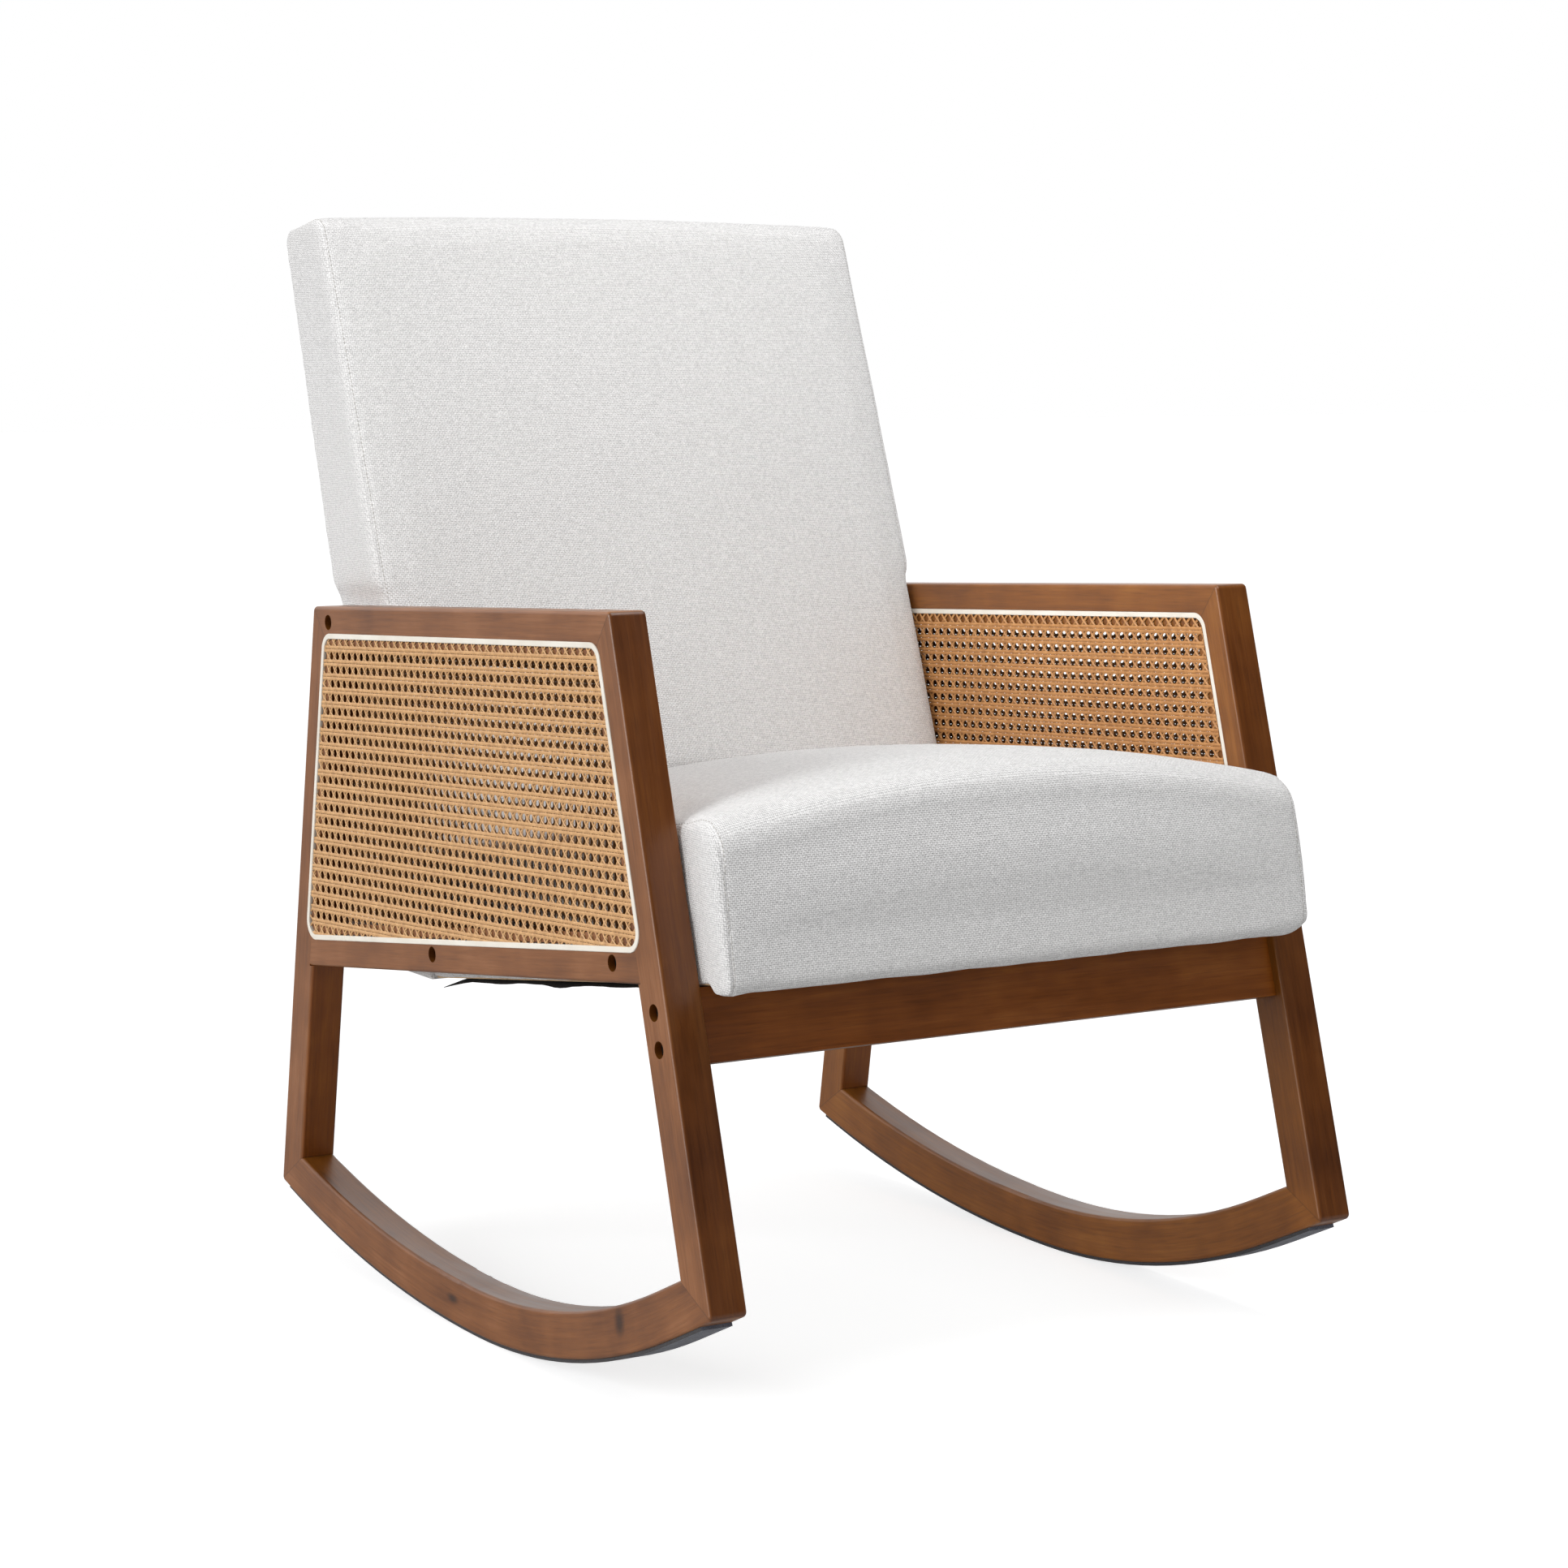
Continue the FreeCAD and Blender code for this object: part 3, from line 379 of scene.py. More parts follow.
felt = Finish("blue_grey_felt")
felt_place = felt.node("TexCoord").outputs["Object"]
felt_fuzz = felt.noise(felt_place, 900.0, 6.0, 0.7)
felt_tone = felt.noise(felt_place, 60.0, 3.0)
felt_colour = felt.ramp(
    felt.math("ADD", felt.math("MULTIPLY", felt_fuzz, 0.7), felt.math("MULTIPLY", felt_tone, 0.3)),
    (0.35, (0.05, 0.055, 0.075)),
    (0.65, (0.19, 0.20, 0.24)),
)
# the felt's sideways faces are painted near black: painted shade along the runner's underside
felt_side = felt.node("SeparateXYZ", felt.node("NewGeometry").outputs["Normal"]).outputs[0]
felt_side_shade = felt.between(felt.math("ABSOLUTE", felt_side), 0.3, 0.7, 0.0, 0.85)
felt_colour = felt.mix(felt_side_shade, felt_colour, (0.02, 0.016, 0.014, 1))
felt.skin_of(felt_colour, 0.95, felt_fuzz, 0.0006, 0.2)
felt.skin.inputs["Sheen Weight"].default_value = 0.3
for side in SIDES:
    refinish(f"{side}_felt", felt.material)


# The bolts: blackened steel button heads, sunk in round recesses in the side frames.

steel = Finish("blackened_steel")
steel_place = steel.node("TexCoord").outputs["Object"]
steel_marks = steel.noise(steel_place, 400.0, 4.0, 0.6)
steel_colour = steel.ramp(steel_marks, (0.35, (0.012, 0.011, 0.010)), (0.7, (0.045, 0.040, 0.036)))
steel_gloss = steel.between(steel_marks, 0.3, 0.7, 0.32, 0.5)
steel.skin_of(steel_colour, steel_gloss, steel_marks, 0.00008)
steel.skin.inputs["Metallic"].default_value = 0.8
BOLTS = ("arm_bolt", "rear_rail_bolt", "front_rail_bolt", "upper_post_bolt", "lower_post_bolt")
for side in SIDES:
    for bolt in BOLTS:
        refinish(f"{side}_{bolt}", steel.material)


# The apron: one board of the same stained hardwood between the front posts, its grain
# running from side to side, a little behind the front of the posts.

apron_work = Finish("front_apron_walnut")
apron_place = apron_work.node("TexCoord").outputs["Object"]
apron_turned = apron_work.node("Mapping", apron_place, vector_type="POINT")
apron_turned.inputs["Rotation"].default_value = (0, 0, math.radians(90))
apron_finish = stained_and_shaded(apron_work, apron_place, apron_turned.outputs[0], 7.3, front=APRON_SHADE_DEPTH)
refinish("front_apron", apron_finish)


# The cane panels: half-inch mesh of natural rattan, woven by machine. Pairs of upright
# strands lie behind pairs along the arm, and slanting strands weave over and under both.

PITCH = 0.0127
COLUMNS, ROWS = 24, 11
UPRIGHT_STRAND, UPRIGHT_SLIT = 0.0019, 0.0015
LEVEL_STRAND, LEVEL_SLIT = 0.0027, 0.0005
SLANT = 0.0021
STRAND_THICKNESS = 0.0004
STRAND_CROWN = 0.00045
WEAVE_LIFT = 0.0005
ARM_SLOPE = math.radians(-3.1)
FRAME_OUTSIDE = 0.32
PANEL_MIDDLE = (0.006, 0.452)
# outer edges of the cane under its spline: a point of each and its inward direction, side view
PANEL_EDGES = {
    "front": ((-0.30718, 0.38383), (0.96078, -0.27731)),
    "top": ((-0.24066, 0.61427), (-0.05408, -0.99854)),
    "rear": ((0.27194, 0.58651), (-0.98657, -0.16333)),
    "lower": ((0.31821, 0.30705), (0.12187, 0.99255)),
}
PANEL_CORNER_CUT = 0.0042


def ribbon(bm, start, end, width, steps, waves=None):
    """A flat strand in the panel's plane, crowned across and lifted along by the weave."""
    made = bmesh.ops.create_grid(bm, x_segments=steps, y_segments=2, size=0.5)["verts"]
    run = end - start
    across = Vector((-run.y, run.x)).normalized() * width
    for vert in made:
        along, side = vert.co.x + 0.5, vert.co.y
        spot = start + run * along + across * side
        lift = waves(along * run.length) if waves else 0.0
        vert.co = (lift + STRAND_CROWN * (1 - abs(side) * 2), spot.x, spot.y)
    return made


def pairs(bm, direction, count, cells, width, slit, layer):
    """A family of straight strands that lie in pairs: its pairs each way, and its reach in cells."""
    sideways = Vector((direction.y, -direction.x))
    reach = direction * (cells * PITCH)
    for index in range(-count, count + 1):
        for sign in (-1, 1):
            offset = sideways * (index * PITCH + sign * (width + slit) / 2)
            for vert in ribbon(bm, offset - reach, offset + reach, width, 1):
                vert.co.x += layer


def slants(bm, direction, layer):
    """A family of slanting strands, each under the level pair and over the upright one in a cell."""
    step = PITCH * math.sqrt(2)
    reach = direction.normalized() * ((ROWS + 1) * step)
    start = Vector((PITCH / 2, 0)) - reach

    def weave(along):
        return layer - WEAVE_LIFT * 0.9 * math.cos(2 * math.pi * along / step)

    first = ribbon(bm, start, start + reach * 2, SLANT, (ROWS + 1) * 8, weave)
    faces = list({face for vert in first for face in vert.link_faces})
    for index in range(-(COLUMNS + ROWS), COLUMNS + ROWS + 1):
        if index:
            copied = bmesh.ops.duplicate(bm, geom=faces)["geom"]
            verts = [item for item in copied if isinstance(item, bmesh.types.BMVert)]
            bmesh.ops.translate(bm, verts=verts, vec=(0.0, index * PITCH, 0.0))


def woven_cane(level, facing, shift, stretch):
    """One panel of cane, stretched a little in height and trimmed to the outline of its spline."""
    bm = bmesh.new()
    pairs(bm, Vector((0, 1)), COLUMNS, ROWS + 0.5, UPRIGHT_STRAND, UPRIGHT_SLIT, -WEAVE_LIFT)
    pairs(bm, Vector((1, 0)), ROWS, COLUMNS + 0.5, LEVEL_STRAND, LEVEL_SLIT, WEAVE_LIFT)
    slants(bm, Vector((1, 1)), WEAVE_LIFT * 0.3)
    slants(bm, Vector((1, -1)), -WEAVE_LIFT * 0.3)
    turn = Matrix.Rotation(ARM_SLOPE, 4, "X")
    middle = Vector((level, *PANEL_MIDDLE))
    mirrored = Matrix.Diagonal((facing, 1, stretch, 1))
    place = Matrix.Translation(middle) @ turn @ Matrix.Translation((0, *shift)) @ mirrored
    bmesh.ops.transform(bm, verts=bm.verts, matrix=place)
    edges = list(PANEL_EDGES.values())
    planes = [(Vector((0, *point)), -Vector((0, *inward))) for point, inward in edges]
    for (_, first), (start, second) in zip(edges, edges[1:] + edges[:1]):
        corner = Vector((0, *start))
        inward = (Vector((0, *first)) + Vector((0, *second))).normalized()
        planes.append((corner + inward * PANEL_CORNER_CUT, -inward))
    for point, outward in planes:
        bmesh.ops.bisect_plane(
            bm, geom=bm.verts[:] + bm.edges[:] + bm.faces[:], plane_co=point, plane_no=outward,
            clear_outer=True,
        )
    bmesh.ops.recalc_face_normals(bm, faces=bm.faces)
    bmesh.ops.solidify(bm, geom=bm.faces, thickness=STRAND_THICKNESS)
    bmesh.ops.recalc_face_normals(bm, faces=bm.faces)
    return bm


CANE_TONES = ((0.3, (0.39, 0.195, 0.070)), (0.5, (0.59, 0.330, 0.140)), (0.7, (0.74, 0.455, 0.215)))
# the dull brown of the strands' unvarnished back, darkened as painted shade of the cavity between the
# panels
CANE_DULL_SHADED_BACK = (0.18, 0.078, 0.026, 1)


def cane_finish(name, back, tint):
    """Varnished cane, with the dull brown of its unvarnished back, darkened as painted shade, on the
    faces that look inwards, to the left or right.
    """
    work = Finish(name)
    place = work.node("TexCoord").outputs["Object"]
    tone = work.noise(place, 160.0, 4.0, 0.6)
    fibre = work.noise(work.vector("MULTIPLY", place, (1.0, 0.25, 1.0)), 700.0, 3.0, 0.6)
    mixed = work.math("ADD", work.math("MULTIPLY", tone, 0.6), work.math("MULTIPLY", fibre, 0.4))
    stops = [(at, tuple(c * part for c, part in zip(shade, tint))) for at, shade in CANE_TONES]
    colour = work.ramp(mixed, *stops)
    sideways = work.node("SeparateXYZ", work.node("NewGeometry").outputs["Normal"]).outputs[0]
    # the inward faces are painted dull dark brown: their unvarnished back and painted shade
    dull_shaded_back = work.between(work.math("MULTIPLY", sideways, back), -0.1, 0.4, 0.0, 1.0)
    colour = work.mix(dull_shaded_back, colour, CANE_DULL_SHADED_BACK)
    roughness = work.math("MAXIMUM", work.between(tone, 0.3, 0.7, 0.36, 0.52), dull_shaded_back)
    return work.skin_of(colour, roughness, fibre, 0.00012, 0.4)


# each panel's depth from the frame's outside, and the way that its bright face looks
PANELS = (("outer", 0.0008, 1), ("inner", 0.0332, -1))
# the inner panels are tinted darker and browner: painted shade of the cavity between the panels
CAVITY_SHADE_TINTS = {"outer": (1.0, 1.0, 1.0), "inner": (0.82, 0.68, 0.52)}
# how the inner panels lie against the outer ones, so that light shows through in the same places
SHIFTS = {"left": (-0.0007, -0.0050), "right": (-0.0063, -0.0019)}
STRETCHES = {"left": 1.07, "right": 1.0}
for side, sign in SIDES.items():
    for face, depth, facing in PANELS:
        shift = SHIFTS[side] if face == "inner" else (0.0, 0.0)
        stretch = STRETCHES[side] if face == "inner" else 1.0
        bm = woven_cane(sign * (FRAME_OUTSIDE - depth), sign * facing, shift, stretch)
        finish = cane_finish(f"{side}_{face}_natural_cane", -sign * facing, CAVITY_SHADE_TINTS[face])
        panel = piece(f"{side}_{face}_cane_weave", bm, finish, False, "cane")
        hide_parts(f"{side}_{face}_cane")


# The splines: round-edged cream reed, glued into the groove to hold the cane's edge down.

reed = Finish("cream_reed")
reed_place = reed.node("TexCoord").outputs["Object"]
reed_tone = reed.noise(reed_place, 25.0, 3.0, 0.45)
reed_colour = reed.ramp(reed_tone, (0.3, (0.74, 0.69, 0.60)), (0.7, (0.84, 0.80, 0.72)))
reed.skin_of(reed_colour, 0.42, reed_tone, 0.0001)
for side in SIDES:
    for face in ("outer", "inner"):
        refinish(f"{side}_{face}_spline", reed.material)


# The seat cushion: a foam block over a deck, in a boxed cover of off-white basket cloth.
# The cover is blown up a little over the foam, and its side panels are sewn on with a seam each.

MM = 0.001
# the seat and back in millimetres: their side panels, and points and heights of the side view
SIDE_PANEL = 285.4
EDGE_RADIUS, COVER_SLACK = 10, 0.8
SEAT_BASE = Vector((-15.5, 310.5))
SEAT_FRONT = -394.5
SEAT_TOP, SEAT_CROWN = 435, 50
# the share of the crown that reaches the nose and the tail, and the arc's rise between them
NOSE_SHARE, TAIL_SHARE = 0.57, 0.86
ARC_RISE, CROWN_RISE = 1.5, 1 - (NOSE_SHARE + TAIL_SHARE) / 2
BACK_FACE = Vector((226.0, 645.0))
SEAT_TAIL, BACK_TAIL = 34.2, 34.5
# slopes in degrees: the seat's base and top fall to the rear, its nose and the back lean
BASE_FALL, TOP_FALL = 7.8, 8.8
NOSE_LEAN, BACK_LEAN, REAR_LEAN = 9.8, 20, 17.2
# the covers: their mesh's voxels, the air in them, how much of their swelling stays, what the
# frame gives, and their seams with the size of a stitch, in metres
VOXEL = 0.006
PRESSURE, SIM_STEPS = 4, 20
BLOW, BLOW_EASING = 0.3, 60
FRAME_GIVE = 0.0004
SEAM, SEAM_DEPTH = (SIDE_PANEL - 2) * MM, 0.0016
STITCH, STITCH_GAP = (0.0017, 0.00042, 0.0004), 0.0042


def leaning(degrees):
    """The direction of an edge that leans back from upright, in the side view."""
    turn = math.radians(degrees)
    return Vector((math.sin(turn), math.cos(turn)))


def heading(degrees):
    """The direction of an edge that rises from level, in the side view."""
    turn = math.radians(degrees)
    return Vector((math.cos(turn), math.sin(turn)))


def meet(point, along, other, across):
    """The point where two edges of the side view meet."""
    reach = (other - point).cross(across) / along.cross(across)
    return point + along * reach


def arc_through(start, end, rise, count):
    """Points of an arc bowed to its left by a rise: its end steps are long enough to round off."""
    chord = end - start
    out = Vector((-chord.y, chord.x)).normalized()
    shares = [0.0, *((1 + step / 3) / count for step in range((count - 2) * 3 + 1)), 1.0]
    return [start + chord * t + out * (rise * 4 * t * (1 - t)) for t in shares]


def round_off(points, corners, count=6):
    """A closed outline with some of its corners rounded: a point's index and its radius."""
    made = []
    total = len(points)
    for index, point in enumerate(points):
        radius = corners.get(index, 0)
        if not radius:
            made.append(point)
            continue
        back = (points[index - 1] - point).normalized()
        on = (points[(index + 1) % total] - point).normalized()
        half = back.angle(on) / 2
        start, end = point + back * (radius / math.tan(half)), point + on * (radius / math.tan(half))
        centre = point + (back + on).normalized() * (radius / math.sin(half))
        for step in range(count + 1):
            share = step / count
            way = (start - centre).lerp(end - centre, share)
            made.append(centre + way.normalized() * radius)
    return made


BACK_WAY, REAR_WAY = leaning(BACK_LEAN), leaning(REAR_LEAN)
BACK_INTO = Vector((BACK_WAY.y, -BACK_WAY.x))


def seat_outline(share):
    """The seat at a share of its half width: crowned on top, full at the nose."""
    swell = 1 - share ** 2
    crown = SEAT_CROWN * swell
    base_way, top_way, front_way = heading(180 - BASE_FALL), heading(-TOP_FALL), leaning(NOSE_LEAN)
    corner = meet(SEAT_BASE, base_way, Vector((SEAT_FRONT, 0)), Vector((0, 1)))
    front = corner + Vector((-front_way.y, front_way.x)) * (5 * swell)
    rear = BACK_FACE + BACK_INTO * SEAT_TAIL
    nose_level = Vector((SEAT_BASE.x, SEAT_TOP + crown * NOSE_SHARE))
    tail_level = Vector((SEAT_BASE.x, SEAT_TOP + crown * TAIL_SHARE))
    nose = meet(front, front_way, nose_level, top_way)
    tail_top = meet(rear, BACK_WAY, tail_level, top_way)
    low = meet(SEAT_BASE, base_way, front, front_way)
    tail = meet(SEAT_BASE, base_way, rear, BACK_WAY)
    top = arc_through(nose, tail_top, ARC_RISE + crown * CROWN_RISE, 14)
    return round_off([low, *top, tail], {0: 7, 1: 30, len(top): 6, len(top) + 1: 12})


def inset(outline, depth, firm):
    """An outline moved inwards, less where the frame holds it; it runs clockwise in the side view."""
    total = len(outline)
    moved = []
    for index, point in enumerate(outline):
        along = (outline[(index + 1) % total] - outline[index - 1]).normalized()
        moved.append(point + Vector((along.y, -along.x)) * depth * firm(point))
    return moved


def boxed_cushion(outline_at, firm):
    """A closed cover: outlines of the side view from one side panel to the other, edges eased."""
    flat = SIDE_PANEL - EDGE_RADIUS
    turns = [heading(angle) * EDGE_RADIUS for angle in (0, 20, 40, 60, 80)]
    stations = [(-flat - turn.x, EDGE_RADIUS - turn.y) for turn in turns]
    stations += [(flat * t / 36, 0.0) for t in range(-36, 37)]
    stations += [(-x, depth) for x, depth in reversed(stations[:5])]
    bm = bmesh.new()

    def ring(x, depth):
        outline = outline_at(max(-1.0, min(1.0, x / SIDE_PANEL)))
        outline = inset(outline, depth + COVER_SLACK, firm)
        level = x * (SIDE_PANEL - COVER_SLACK) / SIDE_PANEL
        return [Vector((level, y, z)) * MM for y, z in outline]

    first = ring(*stations[0])
    bmesh.ops.create_circle(bm, cap_ends=True, segments=len(first), radius=1.0)
    bm.faces.ensure_lookup_table()
    face = bm.faces[0]
    for vert, spot in zip(face.verts, first):
        vert.co = spot
    bmesh.ops.duplicate(bm, geom=[face])
    for station in stations[1:]:
        face = bmesh.ops.extrude_discrete_faces(bm, faces=[face])["faces"][0]
        for vert, spot in zip(face.verts, ring(*station)):
            vert.co = spot
    bmesh.ops.remove_doubles(bm, verts=bm.verts, dist=1e-6)
    bmesh.ops.recalc_face_normals(bm, faces=bm.faces)
    return bm


def blown(cover, reach, hold):
    """Fills a cover with a little air, as foam presses it out, and holds it off its neighbours."""
    bm = bmesh.new()
    bm.from_mesh(cover.data)
    drawn = BVHTree.FromBMesh(bm)
    bpy.context.view_layer.objects.active = cover
    cover.data.remesh_voxel_size = VOXEL
    bpy.ops.object.voxel_remesh()
    bm.clear()
    bm.from_mesh(cover.data)
    for vert in bm.verts:
        vert.co = drawn.find_nearest(vert.co)[0]
    bm.to_mesh(cover.data)
    moves = [Vector() for _ in bm.verts]
    cloth = cover.modifiers.new("cloth", "CLOTH")
    cloth.settings.use_pressure = True
    cloth.settings.uniform_pressure_force = PRESSURE
    cloth.settings.effector_weights.gravity = 0
    cloth.settings.quality = 4
    for step in range(1, SIM_STEPS + 1):
        bpy.context.scene.frame_set(step)
    shaped = cover.evaluated_get(bpy.context.evaluated_depsgraph_get())
    moves = [end.co - start.co for start, end in zip(bm.verts, shaped.data.vertices)]
    cover.modifiers.remove(cloth)
    bpy.context.scene.frame_set(1)
    bm.normal_update()
    around = [[edge.other_vert(vert).index for edge in vert.link_edges] for vert in bm.verts]
    for _ in range(BLOW_EASING):
        moves = [(move + sum((moves[other] for other in near), Vector()) / len(near)) / 2
                 for move, near in zip(moves, around)]
    for vert, move in zip(bm.verts, moves):
        out = max(-FRAME_GIVE, min(reach, BLOW * move.dot(vert.normal)))
        vert.co = hold(vert.co + vert.normal * out)
    bm.to_mesh(cover.data)
    bm.free()
    for polygon in cover.data.polygons:
        polygon.use_smooth = True


def sewn(cover):
    """Draws both seams into a cover, and rounds its mesh off once more when it is drawn."""
    places = (-SEAM, SEAM)
    bm = bmesh.new()
    bm.from_mesh(cover.data)
    for place in places:
        for offset in (-0.0022, 0.0, 0.0022):
            bmesh.ops.bisect_plane(
                bm, geom=bm.verts[:] + bm.edges[:] + bm.faces[:], dist=1e-6,
                plane_co=(place + offset, 0, 0), plane_no=(1, 0, 0),
            )
    bm.normal_update()
    for place in places:
        drawn = [vert for vert in bm.verts if abs(vert.co.x - place) < 1e-5]
        moves = [vert.normal * SEAM_DEPTH for vert in drawn]
        for vert, move in zip(drawn, moves):
            vert.co -= Vector((0, move.y, move.z))
    bm.to_mesh(cover.data)
    bm.free()
    smooth = cover.modifiers.new("smooth", "SUBSURF")
    smooth.levels = smooth.render_levels = 1


def stitches(name, cover, outline):
    """Short stitches of thread along both seams of a cover, close to an outline of the side view."""
    tree = BVHTree.FromObject(cover, bpy.context.evaluated_depsgraph_get())
    flat = [Vector((0, *point)) * MM for point in outline]
    bm = bmesh.new()
    for place in (-SEAM, SEAM):
        line = [spot + Vector((place, 0, 0)) for spot in flat]
        spots = []
        for start, end in zip(line, line[1:]):
            spots += [start.lerp(end, t / 8) for t in range(8)]
        travelled, due = 0.0, 0.0
        for start, end in zip(spots, spots[1:]):
            step = end - start
            while due <= travelled + step.length:
                spot = start + step * ((due - travelled) / step.length)
                found, normal, _, _ = tree.find_nearest(spot)
                along = (step - normal * step.dot(normal)).normalized()
                basis = Matrix((along, normal.cross(along), normal)).transposed().to_4x4()
                shape = Matrix.Translation(found) @ basis @ Matrix.Diagonal((*STITCH, 1))
                bmesh.ops.create_uvsphere(bm, u_segments=6, v_segments=5, radius=1.0, matrix=shape)
                due += STITCH_GAP
            travelled += step.length
    piece(name, bm, thread.material, True, "upholstery")


def basket_cloth(name, tone, yarn):
    """Basket weave of a tone and a yarn's width, laid on each face by the way that it faces."""
    work = Finish(name)
    place = work.node("TexCoord").outputs["Object"]
    facing = work.vector("ABSOLUTE", work.node("NewGeometry").outputs["Normal"])
    faces = work.node("SeparateXYZ", facing).outputs
    split = work.node("SeparateXYZ", place).outputs
    sideways = work.math("GREATER_THAN", faces[0], 0.72)
    upward = work.math("GREATER_THAN", faces[2], 0.62)
    level = work.math("ADD", work.math("MULTIPLY", split[1], sideways),
                      work.math("MULTIPLY", split[0], work.math("SUBTRACT", 1.0, sideways)))
    rising = work.math("ADD", work.math("MULTIPLY", split[1], upward),
                       work.math("MULTIPLY", split[2], work.math("SUBTRACT", 1.0, upward)))
    wander = work.noise(place, 130.0, 3.0, 0.6)
    wander = work.math("MULTIPLY", work.math("SUBTRACT", wander, 0.5), 0.0016)
    across = work.math("DIVIDE", work.math("ADD", level, wander), yarn)
    down = work.math("DIVIDE", work.math("SUBTRACT", rising, wander), yarn)
    square = work.math("ADD", work.math("FLOOR", across), work.math("FLOOR", down))
    checks = work.math("PINGPONG", square, 1.0)
    over = work.math("ABSOLUTE", work.math("SINE", work.math("MULTIPLY", across, math.pi)))
    under = work.math("ABSOLUTE", work.math("SINE", work.math("MULTIPLY", down, math.pi)))
    weft = work.math("MULTIPLY", over, work.math("SUBTRACT", 1.0, checks))
    warp = work.math("MULTIPLY", under, checks)
    relief = work.math("ADD", weft, warp)
    fuzz = work.noise(place, 1500.0, 4.0, 0.7)
    yarns = work.vector("MULTIPLY", place, (0.55, 0.55, 1.0))
    slub = work.noise(yarns, 520.0, 2.0, 0.6)
    height = work.math("ADD", relief, work.math("MULTIPLY", fuzz, 0.6))
    # the yarns are darker towards their edges, where they meet: painted shade of the weave's relief;
    # the slub is the yarns' own uneven tone
    shade = work.math("ADD", work.math("MULTIPLY", relief, 0.35), work.math("MULTIPLY", slub, 0.65))
    colour = work.ramp(
        shade,
        (0.38, tuple(c * 0.74 for c in tone)),
        (0.55, tuple(c * 0.98 for c in tone)),
        (0.72, tuple(min(0.94, c * 1.11) for c in tone)),
    )
    work.skin_of(colour, 0.9, height, 0.0005, 0.25)
    work.skin.inputs["Sheen Weight"].default_value = 0.25
    work.skin.inputs["Sheen Roughness"].default_value = 0.6
    return work.material


upholstery = basket_cloth("off_white_basket_cloth", (0.845, 0.835, 0.83), 0.0017)
thread = Finish("seam_thread")
thread_twist = thread.noise(thread.node("TexCoord").outputs["Object"], 2500.0, 2.0)
thread_colour = thread.ramp(thread_twist, (0.3, (0.42, 0.40, 0.38)), (0.7, (0.64, 0.62, 0.59)))
thread.skin_of(thread_colour, 0.8, thread_twist, 0.0001)

SEAT_UP = Vector((0, *leaning(BASE_FALL)))
SEAT_FOOT = Vector((0, *SEAT_BASE)) * MM
BACK_PLACE, BACK_BEHIND = Vector((0, *BACK_FACE)) * MM, Vector((0, *BACK_INTO))
POST_TOP, POST_FOOT = (Vector((0, *CORNERS[end][0])) for end in ("front_top", "front_foot"))
# how far the nose bulges past the posts, from how far ahead of them, and between which heights
NOSE_BULGE, NOSE_START, NOSE_RAMP = 0.007, 0.004, 0.035
NOSE_LOW, NOSE_HEIGHT = 0.345, 0.125
# the hem of the nose: where it hangs, how far, its wave, its pucker at the near corner and
# its round far end
HEM_HEIGHT, HEM_FRONT = 0.03, -0.36
HEM_DROP, HEM_WAVE = 0.0075, 0.0012
PUCKER, PUCKER_PLACE, PUCKER_WIDTH = 0.002, -0.281, 0.02
HEM_ROUND, ROUND_PLACE, ROUND_WIDTH = 0.006, 0.262, 0.022


def ramped(amount):
    """A smooth step from none to all over a share from 0 to 1."""
    share = max(0.0, min(1.0, amount))
    return share * share * (3 - 2 * share)


def past_posts(spot):
    """How far the seat may bulge sideways at a point: only ahead of the front posts."""
    post_way = (POST_FOOT - POST_TOP).normalized()
    ahead = (spot - POST_TOP).dot(Vector((0, post_way.z, -post_way.y))) - NOSE_START
    height = max(0.0, min(1.0, (spot.z - NOSE_LOW) / NOSE_HEIGHT))
    return NOSE_BULGE * ramped(ahead / NOSE_RAMP) * math.sin(math.pi * (0.1 + 0.62 * height))


def hold_seat(spot):
    """Keeps the seat above its base, between the side frames and ahead of the back."""
    side = SIDE_PANEL * MM + past_posts(spot)
    spot = Vector((max(-side, min(side, spot.x)), spot.y, spot.z))
    below = -(spot - SEAT_FOOT).dot(SEAT_UP) - 0.0006
    if below > 0:
        spot += SEAT_UP * below
    behind = (spot - BACK_PLACE).dot(BACK_BEHIND) - SEAT_TAIL * MM
    if behind > 0:
        spot -= BACK_BEHIND * behind
    return spot


def crease(spot, strength):
    """Soft unevenness of cloth over foam."""
    broad = noise.noise(spot * 9.0) * 0.6 + noise.noise(spot * 23.0 + Vector((3, 7, 1))) * 0.4
    return broad * strength


def ease(cover, strength, hold):
    """Moves a cover's points in and out by its soft unevenness."""
    for vert, normal in [(vert, vert.normal.copy()) for vert in cover.data.vertices]:
        vert.co = hold(vert.co + normal * crease(vert.co, strength))


def bulged(cover, bulge, start):
    """Swells a cover's sides where they may bulge, from a distance from the middle outwards."""
    for vert in cover.data.vertices:
        wide = max(0.0, (abs(vert.co.x) - start) / (SIDE_PANEL * MM - start))
        vert.co.x += math.copysign(bulge(vert.co) * wide ** 2, vert.co.x)


def seat_firm(point):
    """How far the foam gives at a point: hardly at the base, fully 60 mm above it."""
    above = (point - SEAT_BASE).dot(leaning(BASE_FALL))
    return max(0.12, min(1.0, above / 60))


